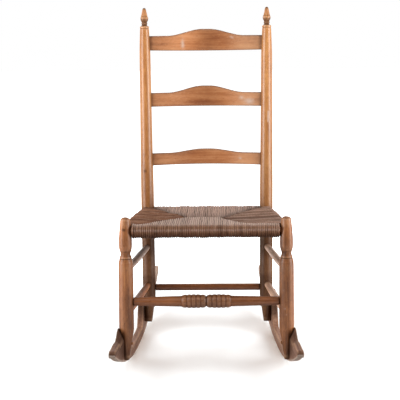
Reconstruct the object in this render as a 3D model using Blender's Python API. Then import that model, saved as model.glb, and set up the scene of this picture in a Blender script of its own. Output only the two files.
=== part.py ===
"""Ladder-back rocking chair with a rush seat, modelled as its separate joined pieces.

Metres, +Z up, the sitter faces -Y. The origin is on the floor, at the middle of the
chair's length and width. Left is -X, as seen from the front. The chair stands at rest
on the short flat in the middle of each rocker's running edge.
"""
import math

import bmesh
import bpy
from mathutils import Matrix, Vector

# Stance of the four posts: spacings between axes, taken at the height of the front rail.
# The front posts splay outwards to the floor and the back posts flare outwards to the top.
SEAT_HEIGHT = 0.3945
FRONT_SPREAD = 0.4254
BACK_SPREAD = 0.3546
SEAT_DEPTH = 0.360
FRONT_RAKE = math.radians(3.5)
FRONT_SPLAY = math.radians(0.4)
BACK_RAKE = math.radians(7.5)
BACK_FLARE = math.radians(0.3)

# Reach of the rockers before the front posts and behind the back posts, at seat height
ROCKER_NOSE_REACH = 0.162
ROCKER_TAIL_REACH = 0.243
ROCKER_LENGTH = ROCKER_NOSE_REACH + SEAT_DEPTH + ROCKER_TAIL_REACH
FRONT_POST_Y = ROCKER_NOSE_REACH - ROCKER_LENGTH / 2
BACK_POST_Y = FRONT_POST_Y + SEAT_DEPTH

# Gap left between pieces that touch
CLEARANCE = 0.0003

# Front posts: foot, top and turned radii
FRONT_FOOT_HEIGHT = 0.0445
FRONT_TOP_RISE = 0.0363
FRONT_TOP_HEIGHT = SEAT_HEIGHT + FRONT_TOP_RISE
FRONT_LEG_RADIUS = 0.0200
FRONT_FOOT_RADIUS = 0.0185
# Turned head of the front post: distance below the top, radius
FRONT_HEAD = (
    (0.0000, 0.0000),
    (0.0012, 0.0062),
    (0.0038, 0.0105),
    (0.0085, 0.0130),
    (0.0190, 0.0143),
    (0.0400, 0.0162),
    (0.0630, 0.0177),
    (0.0770, 0.0178),
    (0.0850, 0.0170),
    (0.0905, 0.0156),
    (0.0950, 0.0139),
    (0.0990, 0.0133),
    (0.1030, 0.0139),
    (0.1075, 0.0159),
    (0.1095, 0.0164),
    (0.1105, 0.0158),
    (0.1118, 0.0166),
    (0.1160, 0.0176),
    (0.1225, 0.0192),
)

# Back posts: foot, tip and turned radii
BACK_FOOT_HEIGHT = 0.0345
BACK_TIP_HEIGHT = 0.9604
BACK_LEG_RADIUS = 0.0195
BACK_FOOT_RADIUS = 0.0185
BACK_TAPER_RISE = 0.0255
BACK_TAPER_HEIGHT = SEAT_HEIGHT + BACK_TAPER_RISE
BACK_MIDDLE_RISE = 0.1855
BACK_MIDDLE_HEIGHT = SEAT_HEIGHT + BACK_MIDDLE_RISE
BACK_MIDDLE_RADIUS = 0.0175
# Turned finial and top of the back post: distance below the tip, radius
FINIAL = (
    (0.0000, 0.0000),
    (0.0010, 0.0030),
    (0.0040, 0.0049),
    (0.0130, 0.0070),
    (0.0235, 0.0094),
    (0.0280, 0.0109),
    (0.0310, 0.0115),
    (0.0350, 0.0109),
    (0.0390, 0.0093),
    (0.0420, 0.0078),
    (0.0440, 0.0083),
    (0.0460, 0.0086),
    (0.0478, 0.0081),
    (0.0495, 0.0074),
    (0.0520, 0.0090),
    (0.0545, 0.0128),
    (0.0562, 0.0135),
    (0.0580, 0.0133),
    (0.0605, 0.0125),
    (0.0640, 0.0132),
    (0.0670, 0.0134),
    (0.1400, 0.0161),
)

# The foot of every post is rounded, and tapers down to it; the front posts taper to their heads
FOOT_ROUND = 0.004
FOOT_TAPER = 0.096
HEAD_TAPER = 0.021
# The inner side of each leg is pared to this distance from its axis at the foot
FOOT_PARE_START = 0.085
FOOT_PARE_LEFT = 0.007

# Slats: lower edge below the tips of the posts, height of the ends, rise of the crest,
# drop of the lower edge at its middle
SLATS = {
    "top_slat": (0.1229, 0.0415, 0.0189, 0.0030),
    "middle_slat": (0.2877, 0.0405, 0.0195, 0.0000),
    "bottom_slat": (0.4612, 0.0365, 0.0110, -0.0020),
}
SLAT_THICKNESS = 0.0085
SLAT_BOW = 0.017
SLAT_EDGE = 0.0014
SLAT_STATIONS = 28
# The arched crest of a slat: flat part and whole arch, as half lengths
CREST_FLAT = 0.010
CREST_REACH = 0.113

# Seat rails, hidden by the rush
RAIL_RADIUS = 0.0100
RAIL_TENON_RADIUS = 0.0060
RAIL_NECK = 0.012
BACK_RAIL_DROP = 0.0310
BACK_RAIL_HEIGHT = SEAT_HEIGHT - BACK_RAIL_DROP

# Stretchers
TENON_RADIUS = 0.0055
CROSS_TENON_PAST_AXIS = 0.006
SIDE_TENON_STOP = 0.0010
SHOULDER_ROUND = 0.0027
FRONT_STRETCHER_HEIGHT = 0.2020
FRONT_STRETCHER_END_RADIUS = 0.0114
FRONT_STRETCHER_SWELL_RADIUS = 0.0147
# Two ringed barrels lie either side of the groove at the front stretcher's middle
RING_CLUSTER_LENGTH = 0.128
RINGS_PER_SIDE = 5
RING_DEPTH = 0.0011
BARREL_END_RADIUS = 0.0170
BARREL_RADIUS = 0.0185
RING_GROOVE_RADIUS = 0.0135
RING_GROOVE_WIDTH = 0.006
BACK_STRETCHER_HEIGHT = 0.1360
BACK_STRETCHER_RADIUS = 0.0103
SIDE_STRETCHER_RADIUS = 0.0102
SIDE_STRETCHER_END_RADIUS = 0.0086
# Side stretchers: height at the front post, height at the back post
SIDE_STRETCHERS = {
    "upper": (0.2846, 0.2609),
    "lower": (0.1647, 0.1485),
}

# Rockers: bent plan line, running edge and depth of the plank
ROCKER_THICKNESS = 0.0170
ROCKER_REST_BACK = 0.206
ROCKER_REST_Y = FRONT_POST_Y + ROCKER_REST_BACK
ROCKER_REST_FLAT = 0.032
ROCKER_FRONT_RADIUS = 0.66
ROCKER_BACK_RADIUS = 0.75
ROCKER_EDGE = 0.0016
ROCKER_STATION = 0.018
# Inner face of the rocker, outside the axis of each leg
ROCKER_OFF_FRONT_LEG = 0.0045
ROCKER_OFF_BACK_LEG = 0.0135
ROCKER_LINE_HEIGHT = 0.080
# Depth of the plank at the nose, the front ear, the blade, the back ear and the tail
NOSE_TIP_DEPTH = 0.012
NOSE_DEPTH = 0.054
FRONT_EAR_DEPTH = 0.095
BLADE_DEPTH = 0.030
BACK_EAR_DEPTH = 0.117
TAIL_DEPTH = 0.030
NOSE_ROUND = 0.012
TAIL_ROUND = 0.013
# Where the nose swells and the ears rise and fall, from the leg's axis, front to back
NOSE_SWELL = (-0.160, -0.055)
FRONT_EAR_RISE = (-0.066, -0.006)
FRONT_EAR_FALL = (0.026, 0.105)
BACK_EAR_RISE = (-0.058, -0.012)
BACK_EAR_FALL = (0.014, 0.105)
# The ears are bevelled under the slanted shoulders of the leg notches
EAR_TOP_FLAT = 0.003
EAR_BEVEL_SLOPE = math.radians(64)
EAR_BEVEL_DROP = (ROCKER_THICKNESS - EAR_TOP_FLAT) * math.tan(EAR_BEVEL_SLOPE)
EAR_BEVEL_REACH = 0.075

# Pegs
ROCKER_PEG_RADIUS = 0.0040
ROCKER_PEG_PROUD = 0.0006
ROCKER_PEG_FORWARD = 0.009
ROCKER_PEG_DROP = 0.010
SLAT_PEG_RADIUS = 0.0026
SLAT_PEG_PROUD = 0.0006
SLAT_PEG_IN = 0.0065
SLAT_PEG_LENGTH = 0.026

# Rush seat: rolls around the rails, panels, and the seams where the panels meet
RUSH_WRAP = 0.006
RUSH_ROLL_RADIUS = RAIL_RADIUS + RUSH_WRAP
RUSH_BRIDGE_HALF = 0.048
RUSH_BRIDGE_BACK = 0.144
# The worn top dips to the bridge; the underside hangs lower than the rolls are round, and sags
RUSH_DIP = 0.006
RUSH_UNDER = 1.3
RUSH_SAG = 0.004
RUSH_POST_GAP = 0.0008
# Seams: depth, share of a panel's width that they take, shares over which they sink and join
RUSH_SEAM_DEPTH = 0.0025
RUSH_SEAM_WIDTH = 0.25
RUSH_SEAM_SINK = 0.33
RUSH_SEAM_JOIN = 6
RUSH_ROLL_STEPS = 4
RUSH_PANEL_STEPS = 4
RUSH_CROSS_STEPS = 14
RUSH_SIDE_STEPS = 8

# Facets around turned pieces
POST_SIDES = 20
ROD_SIDES = 16
PEG_SIDES = 12
SMOOTH_ANGLE = math.radians(40)
BEVEL_ANGLE = math.radians(50)
CUTTER_REACH = 0.060

SIDES = {"left": -1, "right": 1}


def clear_scene():
    """Remove whatever the file holds."""
    for item in list(bpy.data.objects):
        bpy.data.objects.remove(item)


def material(name, colour, roughness):
    """Plain Principled material of one colour."""
    made = bpy.data.materials.new(name)
    made.use_nodes = True
    shader = made.node_tree.nodes["Principled BSDF"]
    shader.inputs["Base Color"].default_value = (*colour, 1.0)
    shader.inputs["Roughness"].default_value = roughness
    shader.inputs["Metallic"].default_value = 0.0
    return made


def front_axis(side, height):
    """Point on a front post's axis at a height."""
    above = height - SEAT_HEIGHT
    out = FRONT_SPREAD / 2 - math.tan(FRONT_SPLAY) * above
    return Vector((side * out, FRONT_POST_Y + math.tan(FRONT_RAKE) * above, height))


def back_axis(side, height):
    """Point on a back post's axis at a height."""
    above = height - SEAT_HEIGHT
    out = BACK_SPREAD / 2 + math.tan(BACK_FLARE) * above
    return Vector((side * out, BACK_POST_Y + math.tan(BACK_RAKE) * above, height))


def finish(name, bm, finish_material):
    """Turn a bmesh into a named object with outward faces and smooth shading."""
    bmesh.ops.recalc_face_normals(bm, faces=bm.faces)
    mesh = bpy.data.meshes.new(name)
    bm.to_mesh(mesh)
    bm.free()
    mesh.shade_smooth()
    mesh.set_sharp_from_angle(angle=SMOOTH_ANGLE)
    item = bpy.data.objects.new(name, mesh)
    bpy.context.collection.objects.link(item)
    if finish_material:
        mesh.materials.append(finish_material)
    return item


def hide(item):
    """Mark an object as a cutter."""
    item.hide_render = True
    item.display_type = "WIRE"
    return item


def cut(item, cutter):
    """Subtract a cutter from an object."""
    step = item.modifiers.new("cut " + cutter.name, "BOOLEAN")
    step.operation = "DIFFERENCE"
    step.object = cutter


def lathe(profile, sides):
    """Spin a profile of (height, radius) points about Z into a closed turned body."""
    bm = bmesh.new()
    points = [bm.verts.new((radius, 0.0, height)) for height, radius in profile]
    edges = [bm.edges.new(pair) for pair in zip(points, points[1:])]
    bmesh.ops.spin(bm, geom=points + edges, axis=(0, 0, 1), cent=(0, 0, 0),
                   angle=2 * math.pi, steps=sides, use_merge=True)
    bmesh.ops.remove_doubles(bm, verts=bm.verts, dist=1e-6)
    return bm


def along(item, start, end):
    """Stand an object made along Z at start, pointing to end."""
    item.location = start
    item.rotation_euler = (end - start).to_track_quat("Z", "Y").to_euler()
    return item


def turned(name, profile, sides, start, end, finish_material):
    """Turned piece standing at start and pointing to end."""
    return along(finish(name, lathe(profile, sides), finish_material), start, end)


def rod_cutter(name, radius, sides, start, end):
    """Plain round cutter from start to end."""
    length = (end - start).length
    profile = ((0.0, 0.0), (0.0, radius), (length, radius), (length, 0.0))
    return hide(turned(name, profile, sides, start, end, None))


def smooth_step(value):
    """Ease from 0 to 1 as the value goes from 0 to 1."""
    held = min(max(value, 0.0), 1.0)
    return held * held * (3.0 - 2.0 * held)


def ramp(place, span):
    """Eased rise from 0 to 1 over a span of places."""
    return smooth_step((place - span[0]) / (span[1] - span[0]))


def blend(place, first, last):
    """Straight blend of a radius between two (height, radius) points."""
    share = (place - first[0]) / (last[0] - first[0])
    return first[1] + (last[1] - first[1]) * share


def foot_profile(foot_radius):
    """Rounded end of a leg, from its axis outwards."""
    inner = foot_radius - FOOT_ROUND
    turn = [math.radians(angle) for angle in (0, 30, 60, 90)]
    arc = [(FOOT_ROUND * (1 - math.cos(a)), inner + FOOT_ROUND * math.sin(a)) for a in turn]
    return [(0.0, 0.0)] + arc


def post_profile(length, foot_radius, straight, head):
    """Leg profile: rounded foot, straight stretches, then the turned head from the top down."""
    top = [(length - below, radius) for below, radius in reversed(head)]
    return foot_profile(foot_radius) + straight + top


def profile_radius(profile, place):
    """Radius of a profile at a place along it."""
    for first, last in zip(profile, profile[1:]):
        if first[0] <= place <= last[0] and last[0] > first[0]:
            return blend(place, first, last)
    raise ValueError("the place is off the profile")


def front_profile():
    """Profile of a front post along its axis."""
    length = (front_axis(1, FRONT_TOP_HEIGHT) - front_axis(1, FRONT_FOOT_HEIGHT)).length
    head_low = length - FRONT_HEAD[-1][0]
    straight = [(FOOT_TAPER, FRONT_LEG_RADIUS), (head_low - HEAD_TAPER, FRONT_LEG_RADIUS)]
    return post_profile(length, FRONT_FOOT_RADIUS, straight, FRONT_HEAD)


def back_profile():
    """Profile of a back post along its axis."""
    foot = back_axis(1, BACK_FOOT_HEIGHT)
    taper = (back_axis(1, BACK_TAPER_HEIGHT) - foot).length
    middle = (back_axis(1, BACK_MIDDLE_HEIGHT) - foot).length
    length = (back_axis(1, BACK_TIP_HEIGHT) - foot).length
    straight = [(FOOT_TAPER, BACK_LEG_RADIUS), (taper, BACK_LEG_RADIUS), (middle, BACK_MIDDLE_RADIUS)]
    return post_profile(length, BACK_FOOT_RADIUS, straight, FINIAL)


def post_radius(profile, foot, top, height):
    """Radius of a post's profile at a height between its foot and its top."""
    return profile_radius(profile, profile[-1][0] * (height - foot) / (top - foot))


def front_radius(height):
    """Radius of a front post at a height."""
    return post_radius(front_profile(), FRONT_FOOT_HEIGHT, FRONT_TOP_HEIGHT, height)


def back_radius(height):
    """Radius of a back post at a height."""
    return post_radius(back_profile(), BACK_FOOT_HEIGHT, BACK_TIP_HEIGHT, height)


def stand_on(item, axis, side, height):
    """Stand a cutter on a post's axis at a height, leaning as the post leans."""
    base = axis(side, height)
    lean = axis(side, height + 1.0) - base
    item.location = base
    item.rotation_euler = Vector((0, 0, 1)).rotation_difference(lean).to_euler()
    return item


def prism(outline, low, high, place):
    """Extrude a closed outline of (x, y) points from low to high along Z, then place it."""
    bm = bmesh.new()
    face = bm.faces.new([bm.verts.new((x, y, low)) for x, y in outline])
    grown = bmesh.ops.extrude_face_region(bm, geom=[face])
    moved = [part for part in grown["geom"] if isinstance(part, bmesh.types.BMVert)]
    bmesh.ops.translate(bm, verts=moved, vec=(0, 0, high - low))
    bmesh.ops.transform(bm, matrix=place, verts=bm.verts)
    return bm


def make_front_post(name, side, wood):
    """Short turned front post, its foot pared on the inner side."""
    foot = front_axis(side, FRONT_FOOT_HEIGHT)
    top = front_axis(side, FRONT_TOP_HEIGHT)
    post = turned(name, front_profile(), POST_SIDES, foot, top, wood)
    paring = foot_paring(name, side, FRONT_LEG_RADIUS)
    cut(post, stand_on(paring, front_axis, side, FRONT_FOOT_HEIGHT))
    return post


def make_back_post(name, side, wood):
    """Tall turned back post with its finial, its foot pared on the inner side."""
    foot = back_axis(side, BACK_FOOT_HEIGHT)
    tip = back_axis(side, BACK_TIP_HEIGHT)
    post = turned(name, back_profile(), POST_SIDES, foot, tip, wood)
    paring = foot_paring(name, side, BACK_LEG_RADIUS)
    cut(post, stand_on(paring, back_axis, side, BACK_FOOT_HEIGHT))
    return post


def foot_paring(name, side, radius):
    """Wedge that tapers the inner side of a leg down to its foot."""
    outside = radius * 2
    low = -FOOT_ROUND
    slope = (radius - FOOT_PARE_LEFT) / FOOT_PARE_START
    low_in = FOOT_PARE_LEFT + slope * low
    outline = [(-side * low_in, low), (-side * radius, FOOT_PARE_START),
               (-side * outside, FOOT_PARE_START), (-side * outside, low)]
    upright = Matrix(((1, 0, 0, 0), (0, 0, 1, 0), (0, 1, 0, 0), (0, 0, 0, 1)))
    return hide(finish(name + " foot paring", prism(outline, -outside, outside, upright), None))


def cross_piece(name, height, axis, radius_at, body, tenon, wood, sides, posts):
    """Rod across the chair between two posts, with tenons past their axes.

    body gives the profile between the two shoulders as (distance, radius) points.
    """
    left = axis(-1, height)
    right = axis(1, height)
    past = Vector((CROSS_TENON_PAST_AXIS, 0, 0))
    start = left - past
    end = right + past
    length = (end - start).length
    shoulder = CROSS_TENON_PAST_AXIS + radius_at(height) + CLEARANCE
    middle = [(shoulder + place, radius) for place, radius in body(length - 2 * shoulder)]
    profile = [(0.0, 0.0), (0.0, tenon), (shoulder, tenon)] + middle
    profile += [(length - shoulder, tenon), (length, tenon), (length, 0.0)]
    rod = turned(name, profile, sides, start, end, wood)
    gap = Vector((CLEARANCE, 0, 0))
    hole = rod_cutter(name + " hole", tenon + CLEARANCE, sides, start - gap, end + gap)
    for post in posts:
        cut(post, hole)
    return rod


def side_piece(name, side, front_height, back_height, body, tenon, cross_tenon, wood, posts):
    """Rod from a front post to a back post, its tenons stopping short of the cross tenons."""
    front = front_axis(side, front_height)
    back = back_axis(side, back_height)
    run = (back - front).normalized()
    stop = cross_tenon + SIDE_TENON_STOP
    start = front + run * stop
    end = back - run * stop
    length = (end - start).length
    first = front_radius(front_height) - stop + CLEARANCE
    last = back_radius(back_height) - stop + CLEARANCE
    middle = [(first + place, radius) for place, radius in body(length - first - last)]
    profile = [(0.0, 0.0), (0.0, tenon), (first, tenon)] + middle
    profile += [(length - last, tenon), (length, tenon), (length, 0.0)]
    rod = turned(name, profile, ROD_SIDES, start, end, wood)
    for post, near, sign in ((posts[0], start, -1), (posts[1], end, 1)):
        deep = near + run * sign * CLEARANCE
        open_end = near - run * sign * CUTTER_REACH
        ends = (deep, open_end) if sign < 0 else (open_end, deep)
        cut(post, rod_cutter(name + " hole", tenon + CLEARANCE, ROD_SIDES, *ends))
    return rod


def shoulders(length, end_radius, inside):
    """Rounded shoulders at both ends of a rod's body, with the points between them."""
    drop = SHOULDER_ROUND * (1 - math.sqrt(0.5))
    near = [(0.0, end_radius - SHOULDER_ROUND), (drop, end_radius - drop), (SHOULDER_ROUND, end_radius)]
    far = [(length - place, radius) for place, radius in reversed(near)]
    return near + inside + far


def front_stretcher_body(length):
    """Turned stretcher: slim ends, a swell, and two ringed barrels with a groove between them."""
    half = length / 2
    cluster = RING_CLUSTER_LENGTH / 2
    swell_end = half - cluster
    swell = []
    for share in (0.25, 0.5, 0.75, 0.98):
        place = SHOULDER_ROUND + (swell_end - SHOULDER_ROUND) * share
        grow = (FRONT_STRETCHER_SWELL_RADIUS - FRONT_STRETCHER_END_RADIUS) * share
        swell.append((place, FRONT_STRETCHER_END_RADIUS + grow))
    barrel = cluster - RING_GROOVE_WIDTH / 2
    rings = []
    for step in range(3 * RINGS_PER_SIDE + 1):
        share = step / (3 * RINGS_PER_SIDE)
        bulge = (BARREL_RADIUS - BARREL_END_RADIUS) * math.sin(math.pi * share)
        valley = RING_DEPTH if step % 3 == 0 else 0.0
        rings.append((swell_end + barrel * share, BARREL_END_RADIUS + bulge - valley))
    left = swell + rings
    right = [(length - place, radius) for place, radius in reversed(left)]
    groove = [(half, RING_GROOVE_RADIUS)]
    return shoulders(length, FRONT_STRETCHER_END_RADIUS, left + groove + right)


def back_stretcher_body(length):
    """Plain round stretcher."""
    return shoulders(length, BACK_STRETCHER_RADIUS, [(length / 2, BACK_STRETCHER_RADIUS)])


def side_stretcher_body(length):
    """Slim spindle, thickest at its middle."""
    inside = []
    for share in (0.2, 0.4, 0.5, 0.6, 0.8):
        swell = math.sin(math.pi * share)
        grow = (SIDE_STRETCHER_RADIUS - SIDE_STRETCHER_END_RADIUS) * swell
        inside.append((length * share, SIDE_STRETCHER_END_RADIUS + grow))
    return shoulders(length, SIDE_STRETCHER_END_RADIUS, inside)


def rail_body(length):
    """Seat rail, tapered to its tenons over a short neck."""
    return [(RAIL_NECK, RAIL_RADIUS), (length - RAIL_NECK, RAIL_RADIUS)]


def slat_rise(place, rise):
    """Height of the arched top edge above the slat's straight ends."""
    share = (abs(place) - CREST_FLAT) / (CREST_REACH - CREST_FLAT)
    return rise * (1.0 - smooth_step(share))


def slat_middle(name):
    """Height of the middle of a slat's ends."""
    below, end_height = SLATS[name][:2]
    return BACK_TIP_HEIGHT - below + end_height / 2 * math.cos(BACK_RAKE)


def slat_mesh(name, grow):
    """Bowed slat in the plane of the back posts, grown by a clearance all round.

    Each station across the chair is a rectangle. The slat bows back by SLAT_BOW at its
    middle along a parabola that meets the post axes, and its lower edge drops along another.
    """
    bm = bmesh.new()
    loops = []
    below, end_height, rise, drop = SLATS[name]
    low = BACK_TIP_HEIGHT - below
    half = back_axis(1, slat_middle(name)).x
    thick = SLAT_THICKNESS / 2 + grow
    cos_rake = math.cos(BACK_RAKE)
    for step in range(SLAT_STATIONS + 1):
        place = (half + grow) * (2 * step / SLAT_STATIONS - 1)
        arch = 1 - (place / half) ** 2
        bow = SLAT_BOW * arch
        top = low + (end_height + slat_rise(place, rise) + grow) * cos_rake
        bottom = low - (drop * arch + grow) * cos_rake
        turn = math.atan(-2 * SLAT_BOW * place / half ** 2)
        loop = []
        for height, deep in ((bottom, -thick), (top, -thick), (top, thick), (bottom, thick)):
            base = back_axis(0, height)
            across = place - math.sin(turn) * deep
            loop.append(bm.verts.new((across, base.y + bow + math.cos(turn) * deep, height)))
        loops.append(loop)
    for first, last in zip(loops, loops[1:]):
        for corner in range(4):
            after = (corner + 1) % 4
            bm.faces.new((first[corner], first[after], last[after], last[corner]))
    bm.faces.new(loops[0])
    bm.faces.new(loops[-1])
    return bm


def bevel(item, width):
    """Round the sharp edges of an object."""
    step = item.modifiers.new("edge", "BEVEL")
    step.width = width
    step.segments = 1
    step.limit_method = "ANGLE"
    step.angle_limit = BEVEL_ANGLE


def make_slat(name, wood, posts):
    """Bowed slat with its ends in mortises cut to the posts' axes."""
    slat = finish(name, slat_mesh(name, 0.0), wood)
    bevel(slat, SLAT_EDGE)
    cutter = hide(finish(name + " mortise", slat_mesh(name, CLEARANCE), None))
    for post in posts:
        cut(post, cutter)
    return slat


def rocker_line():
    """Toe angle of a rocker's inner face and its distance out at the resting point."""
    front = front_axis(1, ROCKER_LINE_HEIGHT)
    back = back_axis(1, ROCKER_LINE_HEIGHT)
    front.x += ROCKER_OFF_FRONT_LEG
    back.x += ROCKER_OFF_BACK_LEG
    slope = (front.x - back.x) / (back.y - front.y)
    out = front.x - slope * (ROCKER_REST_Y - front.y)
    return math.atan(slope), out


def rocker_place(side):
    """Frame of a rocker: X outwards on the right, Y back along the plank, Z up."""
    toe, out = rocker_line()
    turn = Matrix.Rotation(side * toe, 4, "Z")
    return Matrix.Translation((side * out, ROCKER_REST_Y, 0)) @ turn


def rocker_along(point):
    """Distance of a point along the plank from the resting point."""
    toe, _ = rocker_line()
    return (point.y - ROCKER_REST_Y) / math.cos(toe)


def running_edge(place):
    """Height of the running edge: a short flat, then an arc to each end."""
    radius = ROCKER_FRONT_RADIUS if place < 0 else ROCKER_BACK_RADIUS
    past = max(abs(place) - ROCKER_REST_FLAT / 2, 0.0)
    return radius - math.sqrt(radius ** 2 - past ** 2)


def leg_places():
    """Places of the front and back legs along the plank."""
    front = rocker_along(front_axis(1, ROCKER_LINE_HEIGHT))
    back = rocker_along(back_axis(1, ROCKER_LINE_HEIGHT))
    return front, back


def plank_depth(place):
    """Depth of the plank, which swells from the nose and rises to an ear at each leg."""
    front, back = leg_places()
    depth = NOSE_TIP_DEPTH + (NOSE_DEPTH - NOSE_TIP_DEPTH) * ramp(place - front, NOSE_SWELL)
    depth += (FRONT_EAR_DEPTH - NOSE_DEPTH) * ramp(place - front, FRONT_EAR_RISE)
    depth += (BLADE_DEPTH - FRONT_EAR_DEPTH) * ramp(place - front, FRONT_EAR_FALL)
    depth += (BACK_EAR_DEPTH - BLADE_DEPTH) * ramp(place - back, BACK_EAR_RISE)
    depth += (TAIL_DEPTH - BACK_EAR_DEPTH) * ramp(place - back, BACK_EAR_FALL)
    return depth


def rocker_ends():
    """Places of the nose and the tail along the plank."""
    toe, _ = rocker_line()
    nose = (-ROCKER_LENGTH / 2 - ROCKER_REST_Y) / math.cos(toe)
    slant = ROCKER_THICKNESS * math.sin(toe)
    tail = (ROCKER_LENGTH / 2 - ROCKER_REST_Y - slant) / math.cos(toe)
    return nose, tail


def rocker_outline():
    """Side outline of a rocker: the running edge forward to back, then the top edge."""
    nose, tail = rocker_ends()
    half_flat = ROCKER_REST_FLAT / 2
    forward = math.ceil((-half_flat - nose - NOSE_ROUND) / ROCKER_STATION)
    backward = math.ceil((tail - TAIL_ROUND - half_flat) / ROCKER_STATION)
    front_step = (-half_flat - nose - NOSE_ROUND) / forward
    back_step = (tail - TAIL_ROUND - half_flat) / backward
    places = [nose + NOSE_ROUND + front_step * step for step in range(forward + 1)]
    places += [half_flat + back_step * step for step in range(backward + 1)]
    bottom = [(place, running_edge(place)) for place in places]
    top = [(place, running_edge(place) + plank_depth(place)) for place in reversed(places)]
    return bottom + end_round(places[-1], TAIL_ROUND) + top + end_round(places[0], -NOSE_ROUND)


def end_round(place, reach):
    """Half ellipse that closes the plank beyond a place, forward if reach is negative."""
    half = plank_depth(place) / 2
    middle = running_edge(place) + half
    sign = math.copysign(1, reach)
    points = []
    for angle in (-60, -30, 0, 30, 60):
        turn = math.radians(angle)
        points.append((place + reach * math.cos(turn), middle + sign * half * math.sin(turn)))
    return points


def shoulder_wedge(low):
    """Outline of the space above an ear's slanted bevel, as (out, height) points."""
    rise = CUTTER_REACH * math.tan(EAR_BEVEL_SLOPE)
    return [(-CUTTER_REACH, low - rise), (CUTTER_REACH, low + rise), (-CUTTER_REACH, low + rise)]


def upright_matrix(side, place):
    """Turn an outline of (out, height) points into the rocker's frame at a place along it."""
    turn = Matrix(((side, 0, 0, 0), (0, 0, 1, place), (0, 1, 0, 0), (0, 0, 0, 1)))
    return rocker_place(side) @ turn


def ear_heights():
    """Height of each ear's top at the middle of its leg."""
    return [running_edge(place) + plank_depth(place) for place in leg_places()]


def make_rocker(name, side, wood):
    """Sawn rocker plank with its ears bevelled to seat under the leg shoulders."""
    outline = rocker_outline()
    lay = Matrix(((0, 0, side, 0), (1, 0, 0, 0), (0, 1, 0, 0), (0, 0, 0, 1)))
    plank = finish(name, prism(outline, 0.0, ROCKER_THICKNESS, rocker_place(side) @ lay), wood)
    for which, place, top in zip(("front", "back"), leg_places(), ear_heights()):
        wedge = shoulder_wedge(top - EAR_BEVEL_DROP)
        shape = prism(wedge, -EAR_BEVEL_REACH, EAR_BEVEL_REACH, upright_matrix(side, place))
        cut(plank, hide(finish(name + " " + which + " bevel", shape, None)))
    bevel(plank, ROCKER_EDGE)
    return plank


def notch_legs(side, posts):
    """Cut each leg's outer side away for the rocker, up to a slanted shoulder."""
    for post, place, top in zip(posts, leg_places(), ear_heights()):
        low = top - EAR_BEVEL_DROP + CLEARANCE / math.cos(EAR_BEVEL_SLOPE)
        rise = CUTTER_REACH * math.tan(EAR_BEVEL_SLOPE)
        outline = [(-CLEARANCE, -CUTTER_REACH), (CUTTER_REACH, -CUTTER_REACH),
                   (CUTTER_REACH, low + rise), (-CLEARANCE, low)]
        shape = prism(outline, -CUTTER_REACH, CUTTER_REACH, upright_matrix(side, place))
        cut(post, hide(finish(post.name + " notch", shape, None)))


def make_rocker_peg(name, side, ear_height, axis, leg_radius, rocker, post, wood):
    """Round peg through the rocker's ear and the leg beside it."""
    frame = rocker_place(side)
    height = ear_height - EAR_BEVEL_DROP - ROCKER_PEG_DROP
    centre = axis(side, height)
    place = rocker_along(centre) - ROCKER_PEG_FORWARD
    outer = ROCKER_THICKNESS + ROCKER_PEG_PROUD
    to_axis = (frame.inverted() @ centre).x * side
    inner = to_axis - math.sqrt(leg_radius ** 2 - ROCKER_PEG_FORWARD ** 2) - ROCKER_PEG_PROUD
    start = frame @ Vector((side * outer, place, height))
    end = frame @ Vector((side * inner, place, height))
    length = (end - start).length
    profile = ((0.0, 0.0), (0.0, ROCKER_PEG_RADIUS), (length, ROCKER_PEG_RADIUS), (length, 0.0))
    peg = turned(name, profile, PEG_SIDES, start, end, wood)
    run = (end - start).normalized() * CUTTER_REACH
    hole = rod_cutter(name + " hole", ROCKER_PEG_RADIUS + CLEARANCE, PEG_SIDES, start - run, end + run)
    cut(rocker, hole)
    cut(post, hole)
    return peg


def make_slat_peg(name, side, slat, post, wood):
    """Small peg driven from behind through a back post and the end of the top slat."""
    height = slat_middle(slat.name)
    centre = back_axis(side, height) - Vector((side * SLAT_PEG_IN, 0, 0))
    square = Vector((0, math.cos(BACK_RAKE), -math.sin(BACK_RAKE)))
    surface = math.sqrt(back_radius(height) ** 2 - SLAT_PEG_IN ** 2)
    start = centre + square * (surface + SLAT_PEG_PROUD)
    end = start - square * SLAT_PEG_LENGTH
    profile = ((0.0, 0.0), (0.0, SLAT_PEG_RADIUS), (SLAT_PEG_LENGTH, SLAT_PEG_RADIUS),
               (SLAT_PEG_LENGTH, 0.0))
    peg = turned(name, profile, PEG_SIDES, start, end, wood)
    deep = end - square * CLEARANCE
    outside = start + square * CUTTER_REACH
    hole = rod_cutter(name + " hole", SLAT_PEG_RADIUS + CLEARANCE, PEG_SIDES, outside, deep)
    cut(post, hole)
    cut(slat, hole)
    return peg


def seat_frame():
    """Corners of the seat on the rail axes: front left, front right, back right, back left."""
    return [front_axis(-1, SEAT_HEIGHT), front_axis(1, SEAT_HEIGHT),
            back_axis(1, BACK_RAIL_HEIGHT), back_axis(-1, BACK_RAIL_HEIGHT)]


def offset_corners(corners, distance):
    """Corners of the seat outline moved out from the rail axes by a distance."""
    front_left, front_right, back_right, back_left = corners
    run = (back_right - front_right).to_2d()
    slope = run.x / run.y
    side_step = distance * math.sqrt(1 + slope ** 2)
    drop = (back_right.z - front_right.z) / run.y
    moved = []
    for corner, front in ((front_left, True), (front_right, True), (back_right, False), (back_left, False)):
        step_y = -distance if front else distance
        sign = 1 if corner.x > 0 else -1
        x = corner.x + sign * (side_step + slope * step_y)
        moved.append(Vector((x, corner.y + step_y, corner.z + drop * step_y)))
    return moved


def ring_points(corners):
    """Points round a four-sided ring, front to back, with equal steps along each edge."""
    counts = (RUSH_CROSS_STEPS, RUSH_SIDE_STEPS, RUSH_CROSS_STEPS, RUSH_SIDE_STEPS)
    points = []
    for edge, count in enumerate(counts):
        start = corners[edge]
        end = corners[(edge + 1) % 4]
        points += [(start.lerp(end, step / count), step / count) for step in range(count)]
    return points


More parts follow.
